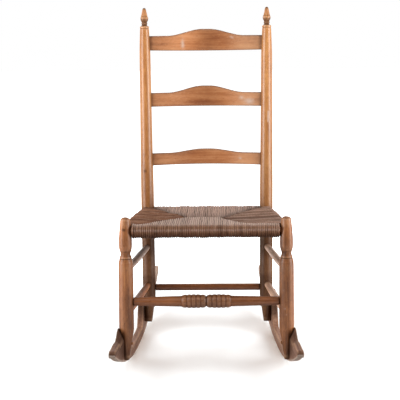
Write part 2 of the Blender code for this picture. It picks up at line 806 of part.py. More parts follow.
def rush_rings():
    """Rings of the rush seat from its outer edge to the bridge, as (points, roll height, inward share)."""
    corners = seat_frame()
    rings = []
    for step in range(RUSH_ROLL_STEPS):
        turn = math.pi / 2 * step / RUSH_ROLL_STEPS
        outline = offset_corners(corners, RUSH_ROLL_RADIUS * math.cos(turn))
        rings.append((ring_points(outline), RUSH_ROLL_RADIUS * math.sin(turn), 0.0))
    front_mid = corners[0].lerp(corners[1], 0.5)
    back_mid = corners[3].lerp(corners[2], 0.5)
    middle = front_mid.lerp(back_mid, RUSH_BRIDGE_BACK / (back_mid.y - front_mid.y))
    half = Vector((RUSH_BRIDGE_HALF, 0, 0))
    bridge = [middle - half, middle + half, middle + half, middle - half]
    for step in range(RUSH_PANEL_STEPS + 1):
        inward = step / RUSH_PANEL_STEPS
        inner = [corner.lerp(end, inward) for corner, end in zip(corners, bridge)]
        rings.append((ring_points(inner), RUSH_ROLL_RADIUS, inward))
    return rings


def seam_drop(share, inward):
    """Depth of a rush point below its panel: the seams at the panel's ends join at the bridge."""
    beside = 1.0 - smooth_step(math.sin(math.pi * share) / RUSH_SEAM_WIDTH)
    sunk = min(1.0, inward / RUSH_SEAM_SINK)
    return RUSH_SEAM_DEPTH * sunk * max(beside, inward ** RUSH_SEAM_JOIN)


def rush_mesh():
    """Closed four-panel rush seat: rolled edges, sunk seams, a dipped top and a fuller underside."""
    bm = bmesh.new()
    for up, fullness, swell in ((1, 1.0, -RUSH_DIP), (-1, RUSH_UNDER, RUSH_SAG)):
        shell = []
        for points, height, inward in rush_rings():
            ring = []
            for point, share in points:
                thick = height * fullness + swell * math.sin(math.pi / 2 * inward) - seam_drop(share, inward)
                ring.append(bm.verts.new(point + Vector((0, 0, up * thick))))
            shell.append(ring)
        for outer, inner in zip(shell, shell[1:]):
            for corner in range(len(outer)):
                after = (corner + 1) % len(outer)
                bm.faces.new((outer[corner], outer[after], inner[after], inner[corner]))
    bmesh.ops.remove_doubles(bm, verts=bm.verts, dist=1e-5)
    return bm


def corner_cutter(name, side, axis, radius, inward):
    """Cutter for a seat corner: a quarter round about the post and all that lies outside it.

    inward is 1 where the seat lies behind the post, and -1 where it lies before it.
    """
    far = RUSH_ROLL_RADIUS * 3
    outline = [(side * far, inward * radius)]
    for angle in range(90, -1, -15):
        turn = math.radians(angle)
        outline.append((-side * radius * math.cos(turn), inward * radius * math.sin(turn)))
    outline += [(-side * radius, -inward * far), (side * far, -inward * far)]
    shape = prism(outline, -CUTTER_REACH, CUTTER_REACH, Matrix.Identity(4))
    return stand_on(hide(finish(name, shape, None)), axis, side, SEAT_HEIGHT)


def widest_radius(radius_at, height):
    """Largest post radius within the height of a rush roll."""
    return max(radius_at(height + RUSH_ROLL_RADIUS * share) for share in (-1, -0.5, 0, 0.5, 1))


def make_rush_seat(name, rush, rails):
    """Rush seat wound over the four rails and around the posts."""
    seat = finish(name, rush_mesh(), rush)
    front = widest_radius(front_radius, SEAT_HEIGHT) + RUSH_POST_GAP
    back = widest_radius(back_radius, BACK_RAIL_HEIGHT) + RUSH_POST_GAP
    for label, side in SIDES.items():
        cut(seat, corner_cutter("front corner " + label, side, front_axis, front, 1))
        cut(seat, corner_cutter("back corner " + label, side, back_axis, back, -1))
    radius = RAIL_RADIUS + CLEARANCE
    for rail in rails:
        run = rail.matrix_basis.to_3x3() @ Vector((0, 0, 1))
        length = max(vertex.co.z for vertex in rail.data.vertices)
        start = rail.location
        cut(seat, rod_cutter(rail.name + " tunnel", radius, ROD_SIDES, start, start + run * length))
    return seat


def build():
    """Make every piece of the chair."""
    clear_scene()
    post_wood = material("post wood", (0.42, 0.20, 0.075), 0.42)
    slat_wood = material("slat wood", (0.36, 0.17, 0.07), 0.45)
    stretcher_wood = material("stretcher wood", (0.30, 0.115, 0.05), 0.45)
    rocker_wood = material("rocker wood", (0.25, 0.16, 0.10), 0.60)
    rail_wood = material("rail wood", (0.40, 0.26, 0.14), 0.65)
    peg_wood = material("peg wood", (0.34, 0.19, 0.09), 0.50)
    rush = material("rush", (0.16, 0.105, 0.065), 0.75)

    fronts = {}
    backs = {}
    for label, side in SIDES.items():
        fronts[label] = make_front_post("front_post_" + label, side, post_wood)
        backs[label] = make_back_post("back_post_" + label, side, post_wood)
    front_pair = list(fronts.values())
    back_pair = list(backs.values())

    slats = [make_slat(name, slat_wood, back_pair) for name in SLATS]

    rails = [
        cross_piece("seat_rail_front", SEAT_HEIGHT, front_axis, front_radius, rail_body,
                    RAIL_TENON_RADIUS, rail_wood, ROD_SIDES, front_pair),
        cross_piece("seat_rail_back", BACK_RAIL_HEIGHT, back_axis, back_radius, rail_body,
                    RAIL_TENON_RADIUS, rail_wood, ROD_SIDES, back_pair),
    ]
    cross_piece("front_stretcher", FRONT_STRETCHER_HEIGHT, front_axis, front_radius,
                front_stretcher_body, TENON_RADIUS, stretcher_wood, POST_SIDES, front_pair)
    cross_piece("back_stretcher", BACK_STRETCHER_HEIGHT, back_axis, back_radius,
                back_stretcher_body, TENON_RADIUS, stretcher_wood, ROD_SIDES, back_pair)

    for label, side in SIDES.items():
        posts = (fronts[label], backs[label])
        rails.append(side_piece("seat_rail_" + label, side, SEAT_HEIGHT, BACK_RAIL_HEIGHT, rail_body,
                                RAIL_TENON_RADIUS, RAIL_TENON_RADIUS, rail_wood, posts))
        for level, (front_height, back_height) in SIDE_STRETCHERS.items():
            side_piece(level + "_stretcher_" + label, side, front_height, back_height,
                       side_stretcher_body, TENON_RADIUS, TENON_RADIUS, stretcher_wood, posts)
        rocker = make_rocker("rocker_" + label, side, rocker_wood)
        notch_legs(side, posts)
        front_ear, back_ear = ear_heights()
        make_rocker_peg("front_rocker_peg_" + label, side, front_ear, front_axis,
                        FRONT_LEG_RADIUS, rocker, fronts[label], peg_wood)
        make_rocker_peg("back_rocker_peg_" + label, side, back_ear, back_axis,
                        BACK_LEG_RADIUS, rocker, backs[label], peg_wood)
        make_slat_peg("slat_peg_" + label, side, slats[0], backs[label], peg_wood)

    make_rush_seat("rush_seat", rush, rails)


build()
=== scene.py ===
"""Ladder-back rocking chair: fine surfaces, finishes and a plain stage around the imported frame.

Metres, +Z up, the sitter faces -Y, left is -X. Every piece is a numpy surface: a profile
turned about an axis, a section carried along a path, or a sheet of strands wound over a rail.
"""
import math
from collections import namedtuple

import bpy
import numpy as np
from mathutils import Matrix


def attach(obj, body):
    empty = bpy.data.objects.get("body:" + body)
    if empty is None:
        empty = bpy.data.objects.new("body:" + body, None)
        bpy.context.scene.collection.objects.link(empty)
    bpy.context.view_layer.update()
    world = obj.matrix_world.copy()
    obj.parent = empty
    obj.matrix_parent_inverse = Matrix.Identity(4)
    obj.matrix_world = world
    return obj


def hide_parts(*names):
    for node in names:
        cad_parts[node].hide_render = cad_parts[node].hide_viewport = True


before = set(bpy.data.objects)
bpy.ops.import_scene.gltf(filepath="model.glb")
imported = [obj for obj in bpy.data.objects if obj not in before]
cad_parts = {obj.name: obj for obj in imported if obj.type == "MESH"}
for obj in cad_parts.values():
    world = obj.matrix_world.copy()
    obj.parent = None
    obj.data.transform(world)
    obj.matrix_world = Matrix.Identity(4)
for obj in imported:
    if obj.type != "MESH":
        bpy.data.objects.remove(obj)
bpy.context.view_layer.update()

bl_info = {
    "name": "Ladder-back rocking chair",
    "version": (1, 0, 0),
    "blender": (4, 5, 0),
    "location": "3D View > Sidebar > Rocking chair",
    "description": "Builds the chair's turned, sawn and woven surfaces, their finishes and a stage",
    "category": "Add Mesh",
}

SIDES = {"left": -1, "right": 1}
UP = (0.0, 0.0, 1.0)
NEARLY_ALONG = 0.9

# Stance of the posts, as in the frame: spacings between axes at the height of the front rail
SEAT_HEIGHT = 0.3945
FRONT_SPREAD = 0.4254
BACK_SPREAD = 0.3546
SEAT_DEPTH = 0.360
FRONT_RAKE = math.radians(3.5)
FRONT_SPLAY = math.radians(0.4)
BACK_RAKE = math.radians(7.5)
BACK_FLARE = math.radians(0.3)
ROCKER_NOSE_REACH = 0.162
ROCKER_TAIL_REACH = 0.243
ROCKER_LENGTH = ROCKER_NOSE_REACH + SEAT_DEPTH + ROCKER_TAIL_REACH
FRONT_POST_Y = ROCKER_NOSE_REACH - ROCKER_LENGTH / 2
BACK_POST_Y = FRONT_POST_Y + SEAT_DEPTH
CLEARANCE = 0.0003

# Front posts
FRONT_FOOT_HEIGHT = 0.0445
FRONT_TOP_HEIGHT = 0.4308
FRONT_LEG_RADIUS = 0.0200
# Turned head of the front post: distance below the top, radius
FRONT_HEAD = (
    (0.0000, 0.0000), (0.0012, 0.0062), (0.0038, 0.0105), (0.0085, 0.0130), (0.0190, 0.0143),
    (0.0400, 0.0162), (0.0630, 0.0177), (0.0770, 0.0178), (0.0850, 0.0170), (0.0905, 0.0156),
    (0.0950, 0.0139), (0.0990, 0.0133), (0.1030, 0.0139), (0.1075, 0.0159), (0.1095, 0.0164),
    (0.1105, 0.0156), (0.1118, 0.0166), (0.1160, 0.0176), (0.1225, 0.0192),
)
HEAD_TAPER = 0.021

# Back posts
BACK_FOOT_HEIGHT = 0.0345
BACK_TIP_HEIGHT = 0.9604
BACK_LEG_RADIUS = 0.0195
BACK_TAPER_HEIGHT = 0.4200
BACK_MIDDLE_HEIGHT = 0.5800
BACK_MIDDLE_RADIUS = 0.0175
# Turned finial and top of the back post: distance below the tip, radius
FINIAL = (
    (0.0000, 0.0000), (0.0010, 0.0030), (0.0040, 0.0049), (0.0130, 0.0070), (0.0235, 0.0094),
    (0.0280, 0.0109), (0.0310, 0.0115), (0.0350, 0.0109), (0.0390, 0.0093), (0.0420, 0.0078),
    (0.0440, 0.0083), (0.0460, 0.0086), (0.0478, 0.0081), (0.0495, 0.0074), (0.0520, 0.0090),
    (0.0545, 0.0128), (0.0562, 0.0135), (0.0580, 0.0133), (0.0605, 0.0125), (0.0640, 0.0132),
    (0.0670, 0.0134), (0.1400, 0.0161),
)

# Feet of all posts, and how far hand turning and shrinking leave a post from round
FOOT_RADIUS = 0.0185
FOOT_ROUND = 0.004
FOOT_TAPER = 0.096
FOOT_PARE_START = 0.085
FOOT_PARE_LEFT = 0.007
POST_OVAL = 0.010
POST_OVAL_TURN = 3.0
POST_WAVER = 0.004
POST_WAVER_RATE = 23

# Slats: lower edge below the tips of the posts, height of the ends, rise of the crest,
# drop of the lower edge at its middle
SLATS = {
    "top_slat": (0.1229, 0.0415, 0.0189, 0.0030),
    "middle_slat": (0.2877, 0.0405, 0.0195, 0.0000),
    "bottom_slat": (0.4612, 0.0365, 0.0110, -0.0020),
}
SLAT_THICKNESS = 0.0085
SLAT_BOW = 0.017
SLAT_EDGE = 0.0019
CREST_FLAT = 0.010
CREST_REACH = 0.113

# Stretchers
TENON_RADIUS = 0.0055
TENON_EDGE = 0.0004
CROSS_TENON_PAST_AXIS = 0.006
SIDE_TENON_STOP = 0.0010
SHOULDER_ROUND = 0.0027
FRONT_STRETCHER_HEIGHT = 0.2020
FRONT_STRETCHER_END_RADIUS = 0.0114
FRONT_STRETCHER_SWELL_RADIUS = 0.0147
SWELL_SHARES = np.array((0.25, 0.5, 0.75, 0.98))
RING_CLUSTER_LENGTH = 0.128
RINGS_PER_SIDE = 5
KNOTS_PER_RING = 3
RING_DEPTH = 0.0012
BARREL_END_RADIUS = 0.0170
BARREL_RADIUS = 0.0185
RING_GROOVE_RADIUS = 0.0132
RING_GROOVE_WIDTH = 0.006
BACK_STRETCHER_HEIGHT = 0.1360
BACK_STRETCHER_RADIUS = 0.0103
SIDE_STRETCHER_RADIUS = 0.0102
SIDE_STRETCHER_END_RADIUS = 0.0086
SPINDLE_SHARES = np.array((0.2, 0.4, 0.5, 0.6, 0.8))
# Side stretchers: height at the front post, height at the back post
SIDE_STRETCHERS = {"upper": (0.2846, 0.2609), "lower": (0.1647, 0.1485)}
ROD_OVAL = 0.012
ROD_WAVER = 0.006
ROD_WAVER_RATE = 31

# Rockers
ROCKER_THICKNESS = 0.0170
ROCKER_REST_Y = FRONT_POST_Y + 0.206
ROCKER_REST_FLAT = 0.032
ROCKER_FRONT_RADIUS = 0.66
ROCKER_BACK_RADIUS = 0.75
ROCKER_EDGE = 0.0020
ROCKER_END_EDGE = 0.9
ROCKER_OFF_FRONT_LEG = 0.0045
ROCKER_OFF_BACK_LEG = 0.0135
ROCKER_LINE_HEIGHT = 0.080
NOSE_TIP_DEPTH = 0.012
NOSE_DEPTH = 0.054
FRONT_EAR_DEPTH = 0.095
BLADE_DEPTH = 0.030
BACK_EAR_DEPTH = 0.117
TAIL_DEPTH = 0.030
NOSE_ROUND = 0.012
TAIL_ROUND = 0.013
NOSE_SWELL = (-0.160, -0.055)
FRONT_EAR_RISE = (-0.066, -0.006)
FRONT_EAR_FALL = (0.026, 0.105)
BACK_EAR_RISE = (-0.058, -0.012)
BACK_EAR_FALL = (0.014, 0.105)
EAR_TOP_FLAT = 0.003
EAR_BEVEL_SLOPE = math.radians(64)
EAR_BEVEL_DROP = (ROCKER_THICKNESS - EAR_TOP_FLAT) * math.tan(EAR_BEVEL_SLOPE)
EAR_BEVEL_REACH = 0.075

# Pegs
ROCKER_PEG_RADIUS = 0.0040
ROCKER_PEG_FORWARD = 0.009
ROCKER_PEG_DROP = 0.010
SLAT_PEG_RADIUS = 0.0026
SLAT_PEG_IN = 0.0065
SLAT_PEG_LENGTH = 0.026
PEG_PROUD = 0.0006
PEG_ROUND = 0.0005
PEG_END_SHARE = 0.3
PEG_END_STEP = 0.0001
PEG_FACET = 0.05

# Rush seat
BACK_RAIL_HEIGHT = 0.3635
BACK_RAIL_Y = BACK_POST_Y + math.tan(BACK_RAKE) * (BACK_RAIL_HEIGHT - SEAT_HEIGHT)
RAIL_DEPTH = BACK_RAIL_Y - FRONT_POST_Y
RUSH_ROLL_RADIUS = 0.016
RUSH_DIP = 0.006
RUSH_UNDER = 1.3
RUSH_SAG = 0.004
RUSH_BRIDGE_BACK = 0.144
RUSH_FRONT_HALF = 0.1945
RUSH_BACK_HALF = 0.157
RUSH_FRONT_GAP = 0.0185
RUSH_BACK_GAP = 0.0205
# Seams in plan, as (out from the middle, back from the front rail), from the front corner to the
# bridge and on to the back corner
SEAMS = {
    "left": ((0.199, 0.006), (0.165, 0.014), (0.137, 0.050), (0.109, 0.096), (0.092, 0.115),
             (0.075, 0.131), (0.052, 0.146), (0.055, 0.162), (0.070, 0.198), (0.113, 0.259),
             (0.136, 0.300), (0.163, 0.342)),
    "right": ((0.199, 0.006), (0.150, 0.010), (0.108, 0.018), (0.076, 0.066), (0.060, 0.098),
              (0.045, 0.126), (0.036, 0.146), (0.045, 0.160), (0.060, 0.182), (0.090, 0.238),
              (0.124, 0.291), (0.163, 0.342)),
}
SEAM_BRIDGE = 6
# How a panel lies: reach over which its top dips, how far it stands proud there, dive at the seam,
# and how uneven its strands are
Lay = namedtuple("Lay", "reach proud dive uneven")
FRONT_LAY = Lay(reach=RUSH_BRIDGE_BACK, proud=0.0025, dive=0.0, uneven=0.0006)
BACK_LAY = Lay(reach=RAIL_DEPTH - RUSH_BRIDGE_BACK, proud=0.0, dive=0.002, uneven=0.0009)
SIDE_LAY = Lay(reach=0.155, proud=0.0, dive=0.0030, uneven=0.0013)
# How pale a panel's top is, partly rubbed and partly painted sheen, how pale its strand ends are rubbed,
# how strong the painted highlight across its roll is, how dark the painted shade along its seam is and how
# far it reaches, and how dark its darker bands of strands are
RubAndLight = namedtuple("RubAndLight", "top tips roll seam seam_reach bands")
FRONT_RUB_AND_LIGHT = RubAndLight(top=1.0, tips=0.55, roll=0.42, seam=0.0, seam_reach=0.01, bands=0.12)
BACK_RUB_AND_LIGHT = RubAndLight(top=0.50, tips=0.0, roll=0.0, seam=0.95, seam_reach=0.030, bands=0.15)
LEFT_RUB_AND_LIGHT = RubAndLight(top=0.0, tips=0.0, roll=0.0, seam=0.35, seam_reach=0.020, bands=0.70)
SIDE_RUBS_AND_LIGHT = {"left": LEFT_RUB_AND_LIGHT, "right": LEFT_RUB_AND_LIGHT._replace(top=0.40)}

# Strands of the rush. A wave is (strength, rate in radians per metre, which of the strand's phases)
STRAND_VARIES = 0.13
STRAND_WIDTHS = (0.7, 1.35)
STRAND_SHARES = np.array((0.0, 0.10, 0.30, 0.5, 0.70, 0.90))
STRAND_LIFT = 0.0006
STRAND_OWN_LIFT = 0.35
STRAND_SHARED_LIFT = 1.6
STRAND_SWELL = ((0.00022, 95, 0), (0.00016, 210, 1))
STRAND_SWAY = ((0.6, 38, 2), (0.5, 85, 0))
BAND_WAVES = ((0.35, 24, 1),)
LIFT_NEIGHBOURS = 5
BAND_NEIGHBOURS = 3
SEAM_RAGGED = 0.0012
SEAM_ROUND = 0.0030
DIVE_REACH = 0.009
DIVE_VARIES = 0.5
DIVE_RANGE = (0.2, 2.0)
TIP_REACH = 0.012
# A panel's top paler, partly rubbed and partly painted sheen, and a painted highlight band across the roll
TOP_RUBBED_AND_SHEEN = (-0.0150, -0.0010)
ROLL_PAINTED_HIGHLIGHT = (0.002, 0.0035)
# Heights over which the rush darkens underneath, partly dirt and partly painted shade
UNDERSIDE = (0.002, -0.019)
# Painted shade in the valleys between strands: share of loose strands, how dark a loose, a tight and a
# rolled valley is, and how the darkness falls across the strand
LOOSE_SHARE = 0.4
LOOSE_VALLEY = 1.5
TIGHT_VALLEY = 0.45
ROLL_VALLEY = 0.55
VALLEY_CURVE = 0.7
PANEL_NUMBERS_APART = 100.0

# Wear of the posts. A step is (strength, (place where it begins, place where it is full)), a bell
# is (strength, middle, reach), and dirt round joints is (strength, reach)
CUT_DEPTH = 0.001
CUT_WEAR = 0.25
CUT_TONE = -0.20
# Painted shade in the corner where a post meets its rocker: a strip beside the rocker's face, its edge, its
# reach, its spread towards the foot, and the heights above the shoulder over which it fades
NOTCH_SHADE_EDGE = 0.0005
NOTCH_SHADE_REACH = 0.0040
NOTCH_SHADE_SPREAD = 0.0130
NOTCH_SHADE_TOP = (0.030, 0.010)
FOOT_DIRT_HIGH = 0.012
FOOT_DIRT_LOW = 0.002
# Ridges and hollows of a turning: rows on either side that are compared, and a full ridge
BACK_RELIEF = (6, 0.0008)
FRONT_RELIEF = (8, 0.0009)
ROD_RELIEF = (5, 0.0005)

BACK_SLAT_DIRT = (0.75, 0.008)
BACK_ROD_DIRT = (0.6, 0.024)
# Strength of the painted shade beside the rocker
BACK_NOTCH_SHADE = 0.9
# Dirt at the tip and at the foot, a darker, duller stretch from 0.60 down, and painted shade under the seat
# from 0.37 to 0.30
BACK_DIRT_AND_SHADE = (
    (0.6, (BACK_TIP_HEIGHT - 0.006, BACK_TIP_HEIGHT - 0.001)),
    (0.36, (0.60, 0.45)), (0.38, (0.37, 0.30)),
    (0.7, (BACK_FOOT_HEIGHT + FOOT_DIRT_HIGH, BACK_FOOT_HEIGHT + FOOT_DIRT_LOW)),
)
# Tone of the back posts; its last step darkens the legs under the seat as painted shade
BACK_TONE = ((0.17, (0.55, 0.85)), (0.04, (0.60, 0.42)), (-0.36, (0.40, 0.30)))
FINIAL_DIRT = ((0.45, (0.013, 0.002)), (0.85, (0.028, 0.034)), (-0.85, (0.050, 0.056)))
FINIAL_LINES = ((0.6, 0.0255, 0.0016),)
SLAT_JOINT_INSET = 0.004
SLAT_JOINT_SPOTS = 4

FRONT_ROD_DIRT = (0.8, 0.014)
FRONT_SEAT_DIRT = (0.7, 0.012)
FRONT_SEAT_JOINTS = (0.384, 0.394, 0.404)
FRONT_SEAT_IN = 0.016
FRONT_SEAT_BACK = 0.010
# Strength of the painted shade beside the rocker
FRONT_NOTCH_SHADE = 0.95
FRONT_DIRT = (
    (0.15, (0.14, 0.06)), (0.45, (0.4250, 0.4285)),
    (0.6, (FRONT_FOOT_HEIGHT + FOOT_DIRT_HIGH, FRONT_FOOT_HEIGHT + FOOT_DIRT_LOW)),
)
NECK_LINES = ((0.60, 0.0905, 0.0013), (0.55, 0.1105, 0.0014))
FRONT_RIDGE_WEAR = 0.6
FRONT_WEAR = ((0.25, (0.400, 0.414)), (-0.25, (0.4245, 0.4285)))
FRONT_BASE_TONE = -0.09
FRONT_TONE = ((0.20, (0.37, 0.40)), (-0.13, (0.27, 0.10)), (-0.10, (0.11, 0.06)))
# How much paler the outer side of a front post is than its middle, a painted highlight as from the lamp on
# that side
FRONT_OUTER_PAINTED_LIGHT = 0.10
# What the right front post's tone gains and the left one's loses; the base is painted shade on the right
# post and painted light on the left one, as from a lamp on the left
FRONT_SIDE_BASE = -0.09
FRONT_SIDE_TONE = ((0.20, (0.27, 0.10)),)

# Marks that one post alone has: its side, their strength and reach, and each one's height and its
# place from the axis across and along the chair
Spots = namedtuple("Spots", "side strength reach places")
BACK_KNOT = Spots(-1, 1.0, 0.0040, ((0.487, -0.004, -0.0175),))
BACK_SCRATCH = Spots(1, 1.0, 0.0022, [
    (height, 0.004, -0.0172) for height in np.linspace(0.630, 0.658, 8)])
FRONT_KNOT = Spots(-1, 1.2, 0.0045, ((0.400, -0.003, -0.0155),))
FRONT_DENTS = Spots(1, 0.35, 0.0022, (
    (0.186, -0.006, -0.0190), (0.170, -0.002, -0.0190), (0.236, -0.009, -0.0190)))

# How steeply the wear of a sawn edge falls off towards the flats beside it
CORNER_FALL = 6

# Wear of the slats: tones as bells across the half width, dark in the middle, where the crest is
# handled, and scuffs as (place along, share of the height, half length, half height)
SLAT_TONES = {
    "top_slat": ((0.28, -0.38, 0.30), (-0.25, 0.02, 0.25), (0.02, 0.62, 0.35)),
    "middle_slat": ((0.05, -0.5, 0.4), (-0.22, 0.0, 0.35), (0.2, 0.70, 0.30)),
    "bottom_slat": ((0.18, 0.7, 0.3), (-0.08, -0.6, 0.5), (-0.12, 0.0, 0.4)),
}
SLAT_SCUFFS = {
    "top_slat": ((-0.068, 0.45, 0.0045, 0.012), (0.079, 0.92, 0.008, 0.0015)),
    "middle_slat": ((0.128, 0.35, 0.014, 0.009), (0.105, 0.6, 0.006, 0.004)),
    "bottom_slat": ((0.10, 0.5, 0.004, 0.003),),
}
SLAT_WEAR = ((0.55, (0.25, 0.65)), (0.2, (-0.15, -0.5)))
SLAT_CORNER_WEAR = 0.25
SLAT_EDGE_REACH = (0.0030, 0.0004)
SLAT_END_REACH = (0.026, 0.016)
SLAT_TOP_DIRT = 0.75
# Painted shade along a slat's lower edge
SLAT_LOW_SHADE = 0.6
SLAT_END_DIRT = 0.6

# Wear of the stretchers
ROD_HOLLOW_DIRT = 0.4
ROD_END_DIRT = 0.9
ROD_END_REACH = (0.034, 0.018)
ROD_RIDGE_WEAR = 0.25
ROD_WEAR_START = (0.03, 0.06)
# Tone of a stretcher: base, bells along the rod, strength of a painted highlight down one side, the turn at
# which that lies, and the darkest painted shade that the far side gets
RodTone = namedtuple("RodTone", "base bells lit turn darkest", defaults=((), 0.0, 0.0, -1.0))
FRONT_STRETCHER_TONE = RodTone(base=-0.28, bells=((-0.30, 0.5, 0.15),), lit=0.1)
BACK_STRETCHER_TONE = RodTone(base=-0.36, bells=((-0.20, 0.1, 0.12),))
SPINDLE_TONES = {"left": RodTone(base=-0.17, lit=0.70, turn=math.radians(45), darkest=-0.40),
                 "right": RodTone(base=0.53, lit=0.70, turn=math.radians(135), darkest=-0.40)}
RED_SPINDLE = "lower_stretcher_left"
RED_SPINDLE_TONE = -0.15

# Wear of the rockers
ROCKER_CORNER_WEAR = 0.35
ROCKER_WEAR_HEIGHT = (0.004, 0.010)
# Painted highlight that pales each tail towards its end
TAIL_PAINTED_LIGHT = (0.6, (-0.12, -0.04))
RUNNING_SCUFF = (0.75, (0.006, 0.001))
# Painted shade on a rocker's inner face in the corner beside each leg: its reach along, out and up, and its
# strength
TUCKED_ALONG = 0.030
TUCKED_OUT = (0.006, 0.0)
TUCKED_UP = (0.04, 0.07)
TUCKED_SHADE = 0.9
# Painted shade that darkens a rocker's ears beside the legs: its reach along, its heights, and its strength
# in the dirt colour and in tone
EAR_ALONG = 0.06
EAR_UP = (0.045, 0.075)
EAR_SHADE = 0.85
EAR_SHADE_TONE = -0.55
END_GRAIN_DIRT = 0.95
ROCKER_TONE = 0.02
ROCKER_SIDE_TONE = 0.11
NOSE_TONE = (-0.27, (-0.02, -0.06))

# Wear of the pegs
PEG_RIM = (0.7, 1.0)
PEG_RIM_DIRT = 0.7

# Where in the log each kind of piece is sawn: the grain's offset, and its step from piece to piece
SAWN_FROM = {
    "back post": ((0.31, 0.17, 0.4), (0.0, 0.0, 1.3)),
    "front post": ((0.11, 0.47, 0.9), (0.0, 0.0, 0.7)),
    "slat": ((0.2, 0.3, 0.5), (0.0, 0.0, 0.7)),
    "rod": ((0.0, 0.0, 0.0), (0.13, 0.29, 0.41)),
    "rocker": ((0.4, 0.2, 0.0), (0.0, 0.0, 0.8)),
}

# Woods: what is made of them, their pale, main and dark colours, roughness, and the weight of the
# coat face on and at a slant
Wood = namedtuple("Wood", "of colours roughness coat rim", defaults=(0.0,))
WOODS = {
    "post": Wood("back posts", (
        (0.525, 0.245, 0.083), (0.385, 0.154, 0.044), (0.215, 0.069, 0.017)), 0.40, 1.0),
    "front": Wood("front posts", (
        (0.455, 0.188, 0.071), (0.248, 0.089, 0.031), (0.087, 0.027, 0.009)), 0.40, 0.45),
    "slat": Wood("slats", (
        (0.535, 0.250, 0.115), (0.395, 0.151, 0.058), (0.235, 0.074, 0.028)), 0.40, 0.45),
    "stretcher": Wood("stretchers", (
        (0.40, 0.150, 0.052), (0.26, 0.090, 0.032), (0.13, 0.040, 0.014)), 0.40, 0.5),
    "spindle": Wood("side stretchers", (
        (0.40, 0.235, 0.15), (0.24, 0.125, 0.075), (0.11, 0.055, 0.033)), 0.45, 0.3, 0.09),
    "rocker": Wood("rockers", (
        (0.362, 0.210, 0.140), (0.217, 0.109, 0.070), (0.105, 0.050, 0.033)), 0.55, 0.0),
}
SHADES = {"light": "Pale grain", "middle": "Main colour", "dark": "Dark grain"}
COLOURS = {wood + "_" + shade: (words + " of the " + looks.of, colour)
           for wood, looks in WOODS.items()
           for (shade, words), colour in zip(SHADES.items(), looks.colours)}
COLOURS.update({
    "rush_light": ("Palest strands of the seat", (0.37, 0.205, 0.130)),
    "rush_middle": ("Main colour of the strands", (0.25, 0.117, 0.068)),
    "rush_dark": ("Darkest strands of the seat", (0.115, 0.051, 0.030)),
    # The rubbed colour also paints sheen on the panels' tops and a highlight across the front roll
    "rush_tip": ("Strands where they are rubbed", (0.54, 0.40, 0.325)),
    "worn": ("Wood where the finish is rubbed through", (0.66, 0.41, 0.25)),
    # The dirt colour also paints shade: beside the legs on posts and rockers, on the rockers' ears, under
    # the seat, along the slats' lower edges, and in the rush underneath, along its seams and between its
    # strands
    "grime": ("Old dirt in hollows and joints", (0.055, 0.026, 0.016)),
    # The scuff colour also paints a highlight on the rockers' tails
    "scuff": ("Pale scuffs and scratches", (0.62, 0.50, 0.42)),
})
# Masks of the woods, in the order of the marks attribute: how ragged, and how strong their colour is
WOOD_MASKS = {"worn": (0.9, 0.55), "grime": (0.7, 0.80), "scuff": (1.1, 0.65)}
MASK_BEGINS = (0.0, 0.15)
WOOD_SPECULAR = 0.05
WOOD_COAT_ROUGHNESS = 0.32
COAT_FACING = (0.30, 0.70)
DARK_ROUGHER = 0.07
PALE_SMOOTHER = 0.05
# How the mask of dirt and painted shade dulls the coat, sinks the bump and roughens the wood
DIRT_AND_SHADE_DULLS = -0.85
DIRT_AND_SHADE_SINKS = -0.3
DIRT_AND_SHADE_ROUGHENS = 0.18
# How much the scuffs and the painted highlight roughen the wood
SCUFF_AND_HIGHLIGHT_ROUGHENS = 0.2
# Bumps: strength and depth
WOOD_BUMP = (0.35, 0.0006)
RAIL_BUMP = (0.3, 0.0005)
RUSH_BUMP = (0.5, 0.0005)
RAIL_ROUGHNESS = (0.75, 0.6)
RAIL_SPECULAR = 0.3

# Noises, with their scales across and along the grain or the strand
Noise = namedtuple("Noise", "scale detail roughness distortion", defaults=(3.0, 0.55, 0.0))
BROAD_GRAIN = Noise((70, 70, 3.2), 2.0, 0.5, 0.6)
STREAK_GRAIN = Noise((170, 170, 9.0), 4.0, 0.6, 0.3)
PATCH_GRAIN = Noise((45, 45, 16), 4.0, 0.65)
FLECK_GRAIN = Noise((250, 250, 90), 3.0, 0.6)
PORE_GRAIN = Noise((1500, 1500, 45), 2.0, 0.5)
RAGGED_EDGE = Noise((260, 260, 120), 5.0, 0.65)
STRAND_STREAK = Noise((3.1, 1.2, 55), 3.0, 0.6)
STRAND_FIBRE = Noise((7.7, 9.0, 160), 4.0, 0.65)
CARD_CLOTH = Noise((9, 9, 9))

# Wood grain: weights of broad figure, streaks, patches and tone in the figure, the spans over which
# the figure, flecks and pores take their colours, and how strong those are
FIGURE_WEIGHTS = (0.38, 0.30, 0.32, 0.12)
FIGURE_TO_MIDDLE = (0.30, 0.53)
FIGURE_TO_LIGHT = (0.46, 0.70)
FIGURE_SPAN = (0.3, 0.7)
DARK_FLECKS = (0.56, 0.72)
DARK_FLECK_STRENGTH = 0.55
PALE_FLECKS = (0.44, 0.28)
PALE_FLECK_STRENGTH = 0.45
PORES = (0.60, 0.72)
PORE_STRENGTH = 0.35
STREAK_HEIGHT = 0.6
PORE_HEIGHT = -0.7
LOWEST_LEVEL = 0.1

# Rush: its twist, weights of a strand's own shade and its streaks, the spans over which the shade
# takes its colours, and the strengths of its marks and relief
STRAND_METRES = (0.004, 0.004, 1.0)
TWIST_ALONG = 780.0
TWIST_ACROSS = 5.5
RUSH_WEIGHTS = (0.25, 0.75)
RUSH_TO_MIDDLE = (0.25, 0.5)
RUSH_TO_LIGHT = (0.48, 0.75)
